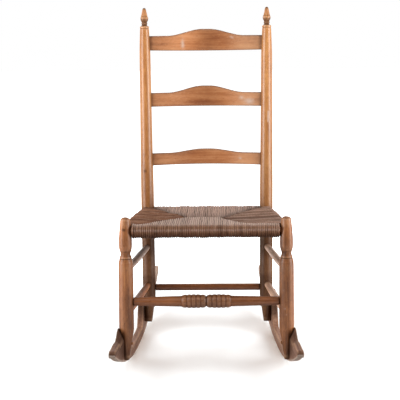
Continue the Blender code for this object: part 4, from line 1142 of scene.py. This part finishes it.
def side_rail_out(y):
    """Distance of a side rail's axis from the chair's middle."""
    front, back = front_axis(1, SEAT_HEIGHT)[0], back_axis(1, BACK_RAIL_HEIGHT)[0]
    return front + (back - front) * (y - FRONT_POST_Y) / RAIL_DEPTH


def strand_columns(start, end, pitch, random):
    """Columns across a panel: place, strand number, share across the strand and its half width.

    Strand widths vary a little. Each strand has six columns, so its section is a rounded ridge
    that starts and ends in the valleys beside it.
    """
    count = max(2, round(abs(end - start) / pitch))
    widths = np.clip(1 + STRAND_VARIES * random.standard_normal(count), *STRAND_WIDTHS)
    edges = start + (end - start) * np.concatenate(([0.0], np.cumsum(widths))) / widths.sum()
    wide = np.diff(edges)
    places = np.append((edges[:-1, None] + wide[:, None] * STRAND_SHARES).ravel(), edges[-1])
    numbers = np.append(np.repeat(np.arange(count), len(STRAND_SHARES)), count - 1)
    across = np.append(np.tile(STRAND_SHARES, count), 1.0)
    return places, numbers, across, np.abs(wide)[numbers] / 2


def wound_path(seam, sunk, lay):
    """Loop of each column round its rail, as distances inwards from the rail and heights above it.

    It runs along the top from the seam to the rail, half round the rail, back underneath to the
    seam and up beside it. The top dips and the underside sags by a sine.
    """
    top = 1 - np.linspace(0, 1, TOP_ROWS)[None] ** TOP_CROWDING
    roll = np.radians(np.linspace(90, 270, ROLL_ROWS))[None, 1:-1]
    under = np.linspace(0, 1, UNDER_ROWS)[None]
    turn = np.radians(np.linspace(0, 90, SEAM_ROWS))[None, :-1]
    top_rise = np.sin(np.pi / 2 * np.clip(seam * top / lay.reach, 0, 1))
    low_rise = np.sin(np.pi / 2 * np.clip(seam * under / lay.reach, 0, 1))
    crown = RUSH_ROLL_RADIUS + (lay.proud - RUSH_DIP) * top_rise
    crown = crown - sunk * np.exp(-seam * (1 - top) / DIVE_REACH)
    belly = RUSH_ROLL_RADIUS * RUSH_UNDER + RUSH_SAG * low_rise
    rolled = RUSH_ROLL_RADIUS * np.sin(roll)
    rolled = np.where(rolled < 0, rolled * RUSH_UNDER, rolled)
    each = np.ones_like(seam)
    inwards = (seam * top, each * RUSH_ROLL_RADIUS * np.cos(roll), seam * under,
               seam + SEAM_ROUND * np.sin(turn), seam + SEAM_ROUND * np.cos(turn))
    height = (crown, each * rolled, -belly, SEAM_ROUND * (1 - np.cos(turn)) - belly[:, -1:],
              crown[:, :1] - SEAM_ROUND * (1 - np.sin(turn)))
    return np.concatenate(inwards, axis=1), np.concatenate(height, axis=1)


def waves(walked, phase, parts):
    """Sum of sines along the strands."""
    return sum(strength * np.sin(rate * walked + phase[:, which, None]) for strength, rate, which in parts)


def shared_chance(random, count, neighbours):
    """Random number for each strand, averaged with its neighbours'."""
    drawn = random.standard_normal(count + neighbours - 1)
    return np.convolve(drawn, np.ones(neighbours) / neighbours, mode="valid")


def build_panel(name, span, depth_at, place_at, lay, rub_and_light, pitch, seed, material):
    """One panel of the rush seat, a sheet of strands wound as a closed loop over its rail.

    Each strand stands out from the loop as half an ellipse, and wanders and swells a little.
    depth_at gives the seam's distance from the rail and place_at turns (across, inwards,
    height) into a point.
    """
    random = np.random.default_rng(seed)
    places, numbers, across, half_width = strand_columns(*span, pitch, random)
    count = numbers[-1] + 1
    ragged = (SEAM_RAGGED * random.standard_normal(count))[numbers]
    seam = (depth_at(places) + ragged)[:, None]
    dive = lay.dive * np.clip(1 + DIVE_VARIES * random.standard_normal(count), *DIVE_RANGE)
    inwards, height = wound_path(seam, dive[numbers][:, None], lay)
    run = np.stack([np.roll(path, -1, 1) - np.roll(path, 1, 1) for path in (inwards, height)], axis=-1)
    run = run / np.linalg.norm(run, axis=-1, keepdims=True)
    steps = [np.diff(path, axis=1, prepend=path[:, :1]) for path in (inwards, height)]
    walked = np.cumsum(np.hypot(*steps), axis=1)
    phase = random.uniform(0, 2 * math.pi, (count, 3))[numbers]
    drift = shared_chance(random, count, LIFT_NEIGHBOURS)
    rise = STRAND_OWN_LIFT * random.standard_normal(count) + STRAND_SHARED_LIFT * drift
    lift = (STRAND_LIFT + lay.uneven * rise)[numbers][:, None]
    ridge = np.sqrt(np.clip(1 - (2 * across - 1) ** 2, 0, 1))[:, None]
    out = half_width[:, None] * (ridge - 1) + (lift + waves(walked, phase, STRAND_SWELL)) * ridge
    sway = lay.uneven * waves(walked, phase, STRAND_SWAY)
    upper = height > 0
    from_seam = np.maximum(seam - inwards, 0)
    # Pale where rubbed, with painted sheen on the top and a painted highlight across the roll
    rubbed = rub_and_light.top * ramp(inwards, TOP_RUBBED_AND_SHEEN) * upper + rub_and_light.tips * np.exp(-from_seam / TIP_REACH) * upper
    rubbed = rubbed + rub_and_light.roll * bump(height, *ROLL_PAINTED_HIGHLIGHT) * (inwards < 0)
    # Painted shade along the seam, and darker bands of strands
    seam_shade_and_bands = rub_and_light.seam * np.exp(-from_seam / rub_and_light.seam_reach) * upper
    bands = shared_chance(random, count, BAND_NEIGHBOURS)[numbers][:, None]
    bands = np.clip(bands + waves(walked, phase, BAND_WAVES), 0, 1)
    seam_shade_and_bands = seam_shade_and_bands + rub_and_light.bands * bands * upper
    # Darker underneath, partly dirt and partly painted shade, and by painted shade along the seam
    below = np.maximum(ramp(height, UNDERSIDE), seam_shade_and_bands)
    inwards = inwards + run[..., 1] * out
    height = height - run[..., 0] * out
    points = place_at(places[:, None] + sway, inwards, height)
    number = numbers[:, None] + PANEL_NUMBERS_APART * seed
    strand = np.stack(np.broadcast_arrays(number, across[:, None], walked), axis=-1)
    # Painted shade in the valleys between strands
    loose = np.where(random.uniform(size=count) < LOOSE_SHARE, LOOSE_VALLEY, TIGHT_VALLEY)[numbers][:, None]
    valley = loose * (1 - ridge) ** VALLEY_CURVE * np.where(inwards < 0, ROLL_VALLEY, 1.0)
    looks = {"strand": strand, "marks": marks(walked.shape, rubbed, below, valley)}
    build_shell(name, points, looks, material, "rush_seat")


def cross_seam(part):
    """Seam along the front or back panel from left to right, as (place, back from the front rail)."""
    return sorted((side * out, back) for label, side in SIDES.items() for out, back in SEAMS[label][part])


def feed(tree, node, values):
    """Set or link inputs: values maps an input's name or number to a value or to an output."""
    for key, value in values.items():
        if isinstance(value, bpy.types.NodeSocket):
            tree.links.new(value, node.inputs[key])
        else:
            node.inputs[key].default_value = value


def add(tree, kind, values=None, **settings):
    """New shader node with its settings and fed inputs."""
    made = tree.nodes.new(kind)
    for key, value in settings.items():
        setattr(made, key, value)
    feed(tree, made, values or {})
    return made


def calculate(tree, operation, first, second=0.0, third=0.0, clamp=False):
    """Output of a Math node."""
    values = {0: first, 1: second, 2: third}
    return add(tree, "ShaderNodeMath", values, operation=operation, use_clamp=clamp).outputs[0]


def weighted(tree, *terms):
    """Sum of outputs, each times its weight."""
    total = 0.0
    for value, weight in terms:
        total = calculate(tree, "MULTIPLY_ADD", value, weight, total)
    return total


def mixed(tree, factor, first, second, strength=1.0):
    """Output of a colour Mix node whose factor is times a strength."""
    if strength != 1.0:
        factor = calculate(tree, "MULTIPLY", factor, strength)
    values = {0: factor, 6: first, 7: second}
    return add(tree, "ShaderNodeMix", values, data_type="RGBA").outputs[2]


def eased(tree, value, span, start=0.0, end=1.0):
    """Value eased from start to end as it goes over a span."""
    values = {0: value, 1: span[0], 2: span[1], 3: start, 4: end}
    return add(tree, "ShaderNodeMapRange", values, interpolation_type="SMOOTHSTEP").outputs[0]


def stretched(tree, vector, scale):
    """Vector multiplied by a scale along each axis."""
    return add(tree, "ShaderNodeVectorMath", {0: vector, 1: scale}, operation="MULTIPLY").outputs[0]


def dimmed(tree, colour, level):
    """Colour multiplied by a level."""
    return add(tree, "ShaderNodeVectorMath", {0: colour, "Scale": level}, operation="SCALE").outputs[0]


def noise(tree, vector, kind):
    """Output of a noise texture at a stretched vector."""
    values = {"Vector": stretched(tree, vector, kind.scale), "Scale": 1.0, "Detail": kind.detail,
              "Roughness": kind.roughness, "Distortion": kind.distortion}
    return add(tree, "ShaderNodeTexNoise", values).outputs[0]


def attribute(tree, name, output="Vector"):
    """Output of a mesh attribute."""
    return add(tree, "ShaderNodeAttribute", attribute_name=name).outputs[output]


def separated(tree, vector):
    """Three parts of a vector."""
    return add(tree, "ShaderNodeSeparateXYZ", {0: vector}).outputs


def object_place(tree):
    """Object coordinates."""
    return add(tree, "ShaderNodeTexCoord").outputs["Object"]


def bumped(tree, height, strength, distance):
    """Normal of a bump map."""
    values = {"Strength": strength, "Distance": distance, "Height": height}
    return add(tree, "ShaderNodeBump", values).outputs[0]


def new_group(name, inputs, outputs):
    """Empty shader node group with named sockets."""
    tree = bpy.data.node_groups.new(name, "ShaderNodeTree")
    kinds = {float: "NodeSocketFloat", tuple: "NodeSocketColor", type(None): "NodeSocketVector"}
    for label, default in inputs.items():
        socket = tree.interface.new_socket(label, in_out="INPUT", socket_type=kinds[type(default)])
        if default is not None:
            socket.default_value = default
    for label, kind in outputs.items():
        tree.interface.new_socket(label, in_out="OUTPUT", socket_type=kind)
    return tree, add(tree, "NodeGroupInput").outputs, add(tree, "NodeGroupOutput")


def grain_group(name):
    """Wood grain along the third axis of a coordinate in metres: figure, streaks, flecks and pores."""
    tree, given, result = new_group(
        name, {"Coordinate": None, "Tone": 0.0, "Light": WHITE, "Middle": WHITE, "Dark": WHITE},
        {"Colour": "NodeSocketColor", "Height": "NodeSocketFloat", "Figure": "NodeSocketFloat"})
    kinds = (BROAD_GRAIN, STREAK_GRAIN, PATCH_GRAIN, FLECK_GRAIN, PORE_GRAIN)
    broad, streak, patch, fleck, pore = (noise(tree, given["Coordinate"], kind) for kind in kinds)
    figure = weighted(tree, *zip((broad, streak, patch, given["Tone"]), FIGURE_WEIGHTS))
    colour = mixed(tree, eased(tree, figure, FIGURE_TO_MIDDLE), given["Dark"], given["Middle"])
    colour = mixed(tree, eased(tree, figure, FIGURE_TO_LIGHT), colour, given["Light"])
    colour = mixed(tree, eased(tree, fleck, DARK_FLECKS), colour, given["Dark"], DARK_FLECK_STRENGTH)
    colour = mixed(tree, eased(tree, fleck, PALE_FLECKS), colour, given["Light"], PALE_FLECK_STRENGTH)
    pores = eased(tree, pore, PORES)
    colour = mixed(tree, pores, colour, given["Dark"], PORE_STRENGTH)
    level = calculate(tree, "MAXIMUM", calculate(tree, "ADD", given["Tone"], 1.0), LOWEST_LEVEL)
    feed(tree, result, {"Colour": dimmed(tree, colour, level), "Figure": figure,
                        "Height": weighted(tree, (streak, STREAK_HEIGHT), (pores, PORE_HEIGHT))})
    return tree


def patchy_group(name):
    """Mask broken up by noise, so that wear, dirt, painted shade, scuffs and painted highlights have ragged
    edges.
    """
    tree, given, result = new_group(
        name, {"Amount": 0.0, "Coordinate": None, "Ragged": 0.5}, {"Mask": "NodeSocketFloat"})
    cloud = noise(tree, given["Coordinate"], RAGGED_EDGE)
    shift = calculate(tree, "MULTIPLY", calculate(tree, "SUBTRACT", cloud, 0.5), given["Ragged"])
    begun = eased(tree, given["Amount"], MASK_BEGINS)
    feed(tree, result, {"Mask": calculate(tree, "MULTIPLY_ADD", shift, begun, given["Amount"], clamp=True)})
    return tree


GROUP_MAKERS = {"wood grain": grain_group, "patchy mask": patchy_group}


def place_group(tree, name, values):
    """Outputs of a shared node group, which is built when it is first placed."""
    group = bpy.data.node_groups.get(name) or GROUP_MAKERS[name](name)
    return add(tree, "ShaderNodeGroup", values, node_tree=group).outputs


def patchy(tree, amount, coordinate, ragged):
    """Ragged mask of an amount."""
    values = {"Amount": amount, "Coordinate": coordinate, "Ragged": ragged}
    return place_group(tree, "patchy mask", values)["Mask"]


def new_material(name):
    """Material with its node tree and its Principled shader."""
    made = bpy.data.materials.new(name)
    made.use_nodes = True
    return made, made.node_tree, made.node_tree.nodes["Principled BSDF"]


def wood_material(name, wood, colours):
    """Old finished wood: grain, worn ridges, dirt in hollows and painted shade in corners, pale scuffs and
    painted highlights, satin gloss.

    The coat goes from its full weight face on to the rim weight at a slant, and the mask of dirt and
    painted shade dulls it.
    """
    made, tree, shader = new_material(name)
    coordinate = attribute(tree, "grain")
    amounts = separated(tree, attribute(tree, "marks"))
    shades = {shade.capitalize(): colours[shade] for shade in SHADES}
    tone = attribute(tree, "tone", "Fac")
    grain = place_group(tree, "wood grain", {"Coordinate": coordinate, "Tone": tone, **shades})
    colour = grain["Colour"]
    masks = {}
    for amount, (mark, (ragged, strength)) in zip(amounts, WOOD_MASKS.items()):
        masks[mark] = patchy(tree, amount, coordinate, ragged)
        colour = mixed(tree, masks[mark], colour, colours[mark], strength)
    rough, smooth = wood.roughness + DARK_ROUGHER, wood.roughness - PALE_SMOOTHER
    figured = eased(tree, grain["Figure"], FIGURE_SPAN, rough, smooth)
    marked = ((masks["grime"], DIRT_AND_SHADE_ROUGHENS), (masks["scuff"], SCUFF_AND_HIGHLIGHT_ROUGHENS))
    facing = add(tree, "ShaderNodeLayerWeight", {"Blend": 0.5}).outputs["Facing"]
    coat = eased(tree, facing, COAT_FACING, wood.coat, wood.rim)
    clean = calculate(tree, "MULTIPLY_ADD", masks["grime"], DIRT_AND_SHADE_DULLS, 1.0)
    height = weighted(tree, (grain["Height"], 1.0), (masks["grime"], DIRT_AND_SHADE_SINKS))
    feed(tree, shader, {
        "Base Color": colour,
        "Roughness": weighted(tree, (figured, 1.0), *marked),
        "Coat Weight": calculate(tree, "MULTIPLY", coat, clean),
        "Normal": bumped(tree, height, *WOOD_BUMP),
        "Specular IOR Level": WOOD_SPECULAR,
        "Coat Roughness": WOOD_COAT_ROUGHNESS,
    })
    return made


def rush_material(name, colours):
    """Twisted rush: each strand its own brown, pale where rubbed and where sheen and a highlight are
    painted, darker underneath, partly dirt and partly painted shade, and darker by painted shade along
    seams and in the valleys.
    """
    made, tree, shader = new_material(name)
    strand = attribute(tree, "strand")
    number, across, along = separated(tree, strand)
    rubbed, below, valley = separated(tree, attribute(tree, "marks"))
    own = add(tree, "ShaderNodeTexWhiteNoise", {"W": number}, noise_dimensions="1D").outputs["Value"]
    streak = noise(tree, strand, STRAND_STREAK)
    fibre = noise(tree, strand, STRAND_FIBRE)
    turned = calculate(tree, "SINE", weighted(tree, (along, TWIST_ALONG), (across, TWIST_ACROSS)))
    twist = calculate(tree, "MULTIPLY_ADD", turned, 0.5, 0.5)
    hollow = calculate(tree, "SUBTRACT", 1.0, twist)
    shade = weighted(tree, *zip((own, streak), RUSH_WEIGHTS))
    colour = mixed(tree, eased(tree, shade, RUSH_TO_MIDDLE), colours["dark"], colours["middle"])
    colour = mixed(tree, eased(tree, shade, RUSH_TO_LIGHT), colour, colours["light"])
    # Rubbed strands, painted sheen and the roll's painted highlight take the rubbed colour
    tips = patchy(tree, rubbed, stretched(tree, strand, STRAND_METRES), RUBBED_AND_SHEEN_RAGGED)
    colour = mixed(tree, tips, colour, colours["tip"], RUBBED_AND_SHEEN_STRENGTH)
    colour = mixed(tree, hollow, colour, colours["dark"], TWIST_STRENGTH)
    # Painted shade in the valleys, underneath and along seams
    deep = calculate(tree, "POWER", valley, VALLEY_POWER)
    colour = mixed(tree, deep, colour, colours["shadow"], VALLEY_STRENGTH)
    colour = mixed(tree, below, colour, colours["shadow"], UNDER_STRENGTH)
    height = weighted(tree, (twist, TWIST_HEIGHT), (fibre, FIBRE_HEIGHT))
    feed(tree, shader, {
        "Base Color": colour,
        "Roughness": eased(tree, fibre, FIBRE_SPAN, *RUSH_ROUGHNESS),
        "Normal": bumped(tree, height, *RUSH_BUMP),
        "Specular IOR Level": RUSH_SPECULAR,
    })
    return made


def rail_material(name, colours):
    """Plain unfinished wood of the seat rails, its grain by Object coordinates."""
    made, tree, shader = new_material(name)
    shades = {shade.capitalize(): colours[shade] for shade in SHADES}
    grain = place_group(tree, "wood grain", {"Coordinate": object_place(tree), **shades})
    feed(tree, shader, {
        "Base Color": grain["Colour"],
        "Roughness": eased(tree, grain["Figure"], FIGURE_SPAN, *RAIL_ROUGHNESS),
        "Normal": bumped(tree, grain["Height"], *RAIL_BUMP),
        "Specular IOR Level": RAIL_SPECULAR,
    })
    return made


def colour_property(label, text, default):
    """Linear colour setting."""
    return bpy.props.FloatVectorProperty(
        name=label, description=text, default=default, subtype="COLOR", size=3, min=0.0, max=1.0)


def angle_property(label, text, degrees):
    """Angle setting."""
    return bpy.props.FloatProperty(
        name=label, description=text, default=math.radians(degrees), subtype="ANGLE")


def light_property(label, text, default):
    """Strength of a light."""
    return bpy.props.FloatProperty(name=label, description=text, default=default, min=0.0)


class ChairColours(bpy.types.PropertyGroup):
    """Colours of the chair's finishes."""

    __annotations__ = {name: colour_property(name.replace("_", " ").capitalize(), text, default)
                       for name, (text, default) in COLOURS.items()}


class ChairWeave(bpy.types.PropertyGroup):
    """Sizes of the rush weave."""

    pitch: bpy.props.FloatProperty(
        name="Strand pitch", description="Width of one strand of rush", default=0.0052,
        min=0.002, max=0.008, unit="LENGTH")


class ChairStage(bpy.types.PropertyGroup):
    """Camera, lights and floor."""

    camera_place: bpy.props.FloatVectorProperty(
        name="Camera place", description="Where the camera stands", default=(0.0316, -2.7806, 1.0402),
        subtype="TRANSLATION", unit="LENGTH", size=3)
    camera_pitch: angle_property("Pitch", "How far the camera looks down", 12.429)
    camera_yaw: angle_property("Yaw", "Turn of the camera to the right", -1.024)
    camera_roll: angle_property("Roll", "Tilt of the camera", -0.632)
    lens: bpy.props.FloatProperty(name="Lens", description="Focal length in millimetres", default=90.0)
    sky: light_property("Room light", "Strength of the even light of the room", 0.22)
    key: light_property("Key light", "Power of the large lamp above, in watts", 9.0)
    left: light_property("Left light", "Power of the lamp on the left, in watts", 54.0)
    right: light_property("Right light", "Power of the lamp on the right, in watts", 55.0)
    back: light_property("Back light", "Power of the lamp behind, in watts", 60.0)
    floor: colour_property("Floor", "Colour of the floor to the camera", (0.84, 0.91, 0.95))
    floor_glow: colour_property(
        "Floor glow", "Light that the camera sees in the floor's shadows", (0.15, 0.07, 0.02))
    floor_bounce: colour_property("Floor bounce", "Colour that the floor throws back", (0.42, 0.41, 0.40))


def full(colour):
    """Colour with its alpha."""
    return (*colour, 1.0)


def wood_colours(settings, wood):
    """Colours of one wood and its marks for its material."""
    shades = {shade: full(getattr(settings, wood + "_" + shade)) for shade in SHADES}
    return {**shades, **{mark: full(getattr(settings, mark)) for mark in WOOD_MASKS}}


def wood_named(context, wood):
    """Material of one wood, built once and then shared."""
    name = wood + " wood"
    colours = wood_colours(context.scene.chair_colours, wood)
    return bpy.data.materials.get(name) or wood_material(name, WOODS[wood], colours)


class CHAIR_OT_back_posts(bpy.types.Operator):
    """Build the two back posts"""

    bl_idname = "chair.back_posts"
    bl_label = "Back posts"

    def execute(self, context):
        material = wood_named(context, "post")
        for label, side in SIDES.items():
            build_back_post(side, label, material)
        return {"FINISHED"}


class CHAIR_OT_front_posts(bpy.types.Operator):
    """Build the two front posts"""

    bl_idname = "chair.front_posts"
    bl_label = "Front posts"

    def execute(self, context):
        material = wood_named(context, "front")
        for label, side in SIDES.items():
            build_front_post(side, label, material)
        return {"FINISHED"}


class CHAIR_OT_slats(bpy.types.Operator):
    """Build the three arched slats"""

    bl_idname = "chair.slats"
    bl_label = "Slats"

    def execute(self, context):
        material = wood_named(context, "slat")
        for number, name in enumerate(SLATS):
            build_slat(name, number, material)
        return {"FINISHED"}


class CHAIR_OT_stretchers(bpy.types.Operator):
    """Build the turned front stretcher, the plain back one and the four side spindles"""

    bl_idname = "chair.stretchers"
    bl_label = "Stretchers"

    def execute(self, context):
        red = wood_named(context, "stretcher")
        spindle = wood_named(context, "spindle")
        build_cross_stretcher("front_stretcher", front_axis, FRONT_STRETCHER_HEIGHT, FRONT_LEG_RADIUS,
                              ringed_body, red, FRONT_STRETCHER_TONE, 1)
        build_cross_stretcher("back_stretcher", back_axis, BACK_STRETCHER_HEIGHT, BACK_LEG_RADIUS,
                              plain_body, red, BACK_STRETCHER_TONE, 2)
        for label, side in SIDES.items():
            for number, (place, heights) in enumerate(SIDE_STRETCHERS.items()):
                name = place + "_stretcher_" + label
                wood, tone = spindle, SPINDLE_TONES[label]
                if name == RED_SPINDLE:
                    wood, tone = red, tone._replace(base=RED_SPINDLE_TONE)
                build_side_stretcher(name, side, heights, wood, tone, 3 + number + 2 * side)
        return {"FINISHED"}


class CHAIR_OT_rockers(bpy.types.Operator):
    """Build the two rockers"""

    bl_idname = "chair.rockers"
    bl_label = "Rockers"

    def execute(self, context):
        material = wood_named(context, "rocker")
        for label, side in SIDES.items():
            build_rocker(side, label, material)
        return {"FINISHED"}


class CHAIR_OT_pegs(bpy.types.Operator):
    """Build the pegs of the rockers and the top slat"""

    bl_idname = "chair.pegs"
    bl_label = "Pegs"

    def execute(self, context):
        material = wood_named(context, "post")
        legs = (("front", front_axis, FRONT_LEG_RADIUS), ("back", back_axis, BACK_LEG_RADIUS))
        for label, side in SIDES.items():
            for (which, axis, radius), shoulder in zip(legs, shoulder_heights()):
                ends = rocker_peg_ends(side, axis, radius, shoulder)
                build_peg(which + "_rocker_peg_" + label, *ends, ROCKER_PEG_RADIUS, material)
            build_peg("slat_peg_" + label, *slat_peg_ends(side), SLAT_PEG_RADIUS, material)
        return {"FINISHED"}


class CHAIR_OT_seat_rails(bpy.types.Operator):
    """Give the seat rails, which stay as the frame has them, their bare wood"""

    bl_idname = "chair.seat_rails"
    bl_label = "Seat rails"

    def execute(self, context):
        material = rail_material("rail wood", wood_colours(context.scene.chair_colours, "slat"))
        for place in ("front", "back", "left", "right"):
            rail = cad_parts["seat_rail_" + place]
            rail.data.materials.clear()
            rail.data.materials.append(material)
        return {"FINISHED"}


class CHAIR_OT_rush_seat(bpy.types.Operator):
    """Wind the four panels of the rush seat"""

    bl_idname = "chair.rush_seat"
    bl_label = "Rush seat"

    def execute(self, context):
        settings = context.scene.chair_colours
        pitch = context.scene.chair_weave.pitch
        colours = {part: full(getattr(settings, "rush_" + part)) for part in (*SHADES, "tip")}
        material = rush_material("rush", {**colours, "shadow": full(settings.grime)})
        front_seam = cross_seam(slice(None, SEAM_BRIDGE + 1))
        back_seam = [(x, RAIL_DEPTH - back) for x, back in cross_seam(slice(SEAM_BRIDGE, None))]

        def front_place(x, inwards, height):
            y = FRONT_POST_Y + inwards
            return np.stack((x, y, seat_plane(y) + height), axis=-1)

        def back_place(x, inwards, height):
            y = BACK_RAIL_Y - inwards
            return np.stack((x, y, seat_plane(y) + height), axis=-1)

        build_panel("rush_front", (-RUSH_FRONT_HALF, RUSH_FRONT_HALF),
                    lambda x: curve_through(front_seam, x), front_place,
                    FRONT_LAY, FRONT_RUB_AND_LIGHT, pitch, 1, material)
        build_panel("rush_back", (RUSH_BACK_HALF, -RUSH_BACK_HALF),
                    lambda x: curve_through(back_seam, x), back_place,
                    BACK_LAY, BACK_RUB_AND_LIGHT, pitch, 2, material)
        span = (FRONT_POST_Y + RUSH_FRONT_GAP, BACK_RAIL_Y - RUSH_BACK_GAP)
        for label, side in SIDES.items():
            seam = [(back, out) for out, back in SEAMS[label]]

            def side_place(y, inwards, height, side=side):
                return np.stack((side * (side_rail_out(y) - inwards), y, seat_plane(y) + height), axis=-1)

            def side_depth(y, seam=seam):
                return side_rail_out(y) - curve_through(seam, y - FRONT_POST_Y)

            build_panel("rush_" + label, span[::side], side_depth, side_place, SIDE_LAY, SIDE_RUBS_AND_LIGHT[label],
                        pitch, 3 + side, material)
        return {"FINISHED"}


def placed(name, data, right, up, back, place):
    """Camera or lamp with its right, up and back directions at a place."""
    made = bpy.data.objects.new(name, data)
    turn = np.column_stack((right, up, back, place))
    made.matrix_world = Matrix(np.vstack((turn, (0, 0, 0, 1))).tolist())
    bpy.context.scene.collection.objects.link(made)
    return made


def set_camera(scene, settings):
    """Camera turned by its yaw, then its pitch, then its roll."""
    pitch, yaw, roll = settings.camera_pitch, settings.camera_yaw, settings.camera_roll
    ahead = np.array((math.sin(yaw) * math.cos(pitch), math.cos(yaw) * math.cos(pitch), -math.sin(pitch)))
    level = np.array((math.cos(yaw), -math.sin(yaw), 0.0))
    upright = np.cross(level, ahead)
    right = math.cos(roll) * level + math.sin(roll) * upright
    up = -math.sin(roll) * level + math.cos(roll) * upright
    data = bpy.data.cameras.new("camera")
    data.lens = settings.lens
    data.sensor_width = SENSOR_WIDTH
    data.dof.use_dof = False
    scene.camera = placed("camera", data, right, up, -ahead, settings.camera_place)


def add_lamp(name, lamp, power):
    """Large soft area lamp pointing at its target."""
    data = bpy.data.lights.new(name, "AREA")
    data.shape = "RECTANGLE"
    data.size, data.size_y = lamp.size
    data.energy = power
    away = unit(np.subtract(lamp.place, lamp.target))
    right = unit(np.cross(UP, away))
    placed(name, data, right, np.cross(away, right), away, lamp.place)


def add_dark_card():
    """Upright dark card behind the camera, unseen by it, which keeps the gloss from greying the front."""
    low, high = CARD_HEIGHTS
    corners = ((-1, low), (1, low), (1, high), (-1, high))
    mesh = bpy.data.meshes.new("dark card")
    mesh.from_pydata([(end * CARD_HALF_WIDTH, CARD_Y, z) for end, z in corners], [], [(3, 2, 1, 0)])
    material, tree, shader = new_material("dark card")
    colour = mixed(tree, noise(tree, object_place(tree), CARD_CLOTH), *CARD_COLOURS)
    feed(tree, shader, {"Base Color": colour, "Roughness": 1.0, "Specular IOR Level": 0.0})
    mesh.materials.append(material)
    card = bpy.data.objects.new("dark card", mesh)
    card.visible_camera = False
    bpy.context.scene.collection.objects.link(card)


def set_room(scene, settings):
    """World that is white to the camera and in reflections, and lights the chair evenly and gently."""
    world = bpy.data.worlds.new("white room")
    world.use_nodes = True
    scene.world = world
    tree = world.node_tree
    path = add(tree, "ShaderNodeLightPath").outputs
    seen = calculate(tree, "MAXIMUM", path["Is Camera Ray"], path["Is Transmission Ray"])
    seen = calculate(tree, "MAXIMUM", seen, path["Is Glossy Ray"])
    strength = calculate(tree, "MULTIPLY_ADD", seen, 1.0 - settings.sky, settings.sky)
    feed(tree, tree.nodes["Background"], {"Strength": strength, "Color": WHITE})


def add_floor(settings):
    """Wide pale floor that keeps the chair's shadow and turns into the white of the room."""
    reach = np.linspace(-FLOOR_HALF, FLOOR_HALF, FLOOR_LINES)
    x, y = np.meshgrid(reach, reach)
    points = np.stack((x, y, np.zeros_like(x)), axis=-1).reshape(-1, 3)
    index = np.arange(len(points)).reshape(x.shape)
    quads = np.stack((index[:-1, :-1], index[:-1, 1:], index[1:, 1:], index[1:, :-1]), axis=-1)
    mesh = bpy.data.meshes.new("floor")
    mesh.from_pydata(points.tolist(), [], quads.reshape(-1, 4).tolist())
    material, tree, shader = new_material("floor")
    path = add(tree, "ShaderNodeLightPath").outputs
    seen = calculate(tree, "MAXIMUM", path["Is Camera Ray"], path["Is Glossy Ray"])
    away = add(tree, "ShaderNodeVectorMath", {0: object_place(tree)}, operation="LENGTH").outputs["Value"]
    glow = mixed(tree, eased(tree, away, FLOOR_FADE), full(settings.floor_glow), WHITE)
    feed(tree, shader, {
        "Base Color": mixed(tree, seen, full(settings.floor_bounce), full(settings.floor)),
        "Emission Color": dimmed(tree, glow, seen),
        "Emission Strength": 1.0,
        "Roughness": FLOOR_ROUGHNESS,
        "Specular IOR Level": FLOOR_SPECULAR,
    })
    mesh.materials.append(material)
    floor = bpy.data.objects.new("floor", mesh)
    bpy.context.scene.collection.objects.link(floor)


class CHAIR_OT_stage(bpy.types.Operator):
    """Set the camera, the soft light, the white room and the pale floor"""

    bl_idname = "chair.stage"
    bl_label = "Stage"

    def execute(self, context):
        settings = context.scene.chair_stage
        context.scene.view_settings.view_transform = "Standard"
        set_camera(context.scene, settings)
        for name, lamp in LAMPS.items():
            add_lamp(name + " lamp", lamp, getattr(settings, name))
        add_dark_card()
        set_room(context.scene, settings)
        add_floor(settings)
        return {"FINISHED"}


PIECE_OPERATORS = (CHAIR_OT_back_posts, CHAIR_OT_front_posts, CHAIR_OT_slats, CHAIR_OT_stretchers,
                   CHAIR_OT_rockers, CHAIR_OT_pegs, CHAIR_OT_seat_rails, CHAIR_OT_rush_seat, CHAIR_OT_stage)


class CHAIR_PT_panel(bpy.types.Panel):
    """Sidebar panel that lists the chair's pieces and settings"""

    bl_idname = "CHAIR_PT_panel"
    bl_label = "Rocking chair"
    bl_space_type = "VIEW_3D"
    bl_region_type = "UI"
    bl_category = "Rocking chair"

    def draw(self, context):
        for operator in PIECE_OPERATORS:
            self.layout.operator(operator.bl_idname)
        for group in (context.scene.chair_colours, context.scene.chair_weave, context.scene.chair_stage):
            for name in group.bl_rna.properties.keys():
                if name not in ("rna_type", "name"):
                    self.layout.prop(group, name)


SETTINGS = {"chair_colours": ChairColours, "chair_weave": ChairWeave, "chair_stage": ChairStage}
CLASSES = (*SETTINGS.values(), *PIECE_OPERATORS, CHAIR_PT_panel)


def register():
    """Register the classes and hang the settings on the scene."""
    for item in CLASSES:
        bpy.utils.register_class(item)
    for name, kind in SETTINGS.items():
        setattr(bpy.types.Scene, name, bpy.props.PointerProperty(type=kind))


def unregister():
    """Undo register."""
    for name in SETTINGS:
        delattr(bpy.types.Scene, name)
    for item in reversed(CLASSES):
        bpy.utils.unregister_class(item)


def main():
    """Build every piece and the stage."""
    register()
    for operator in PIECE_OPERATORS:
        area, name = operator.bl_idname.split(".")
        getattr(getattr(bpy.ops, area), name)()


if __name__ == "__main__":
    main()
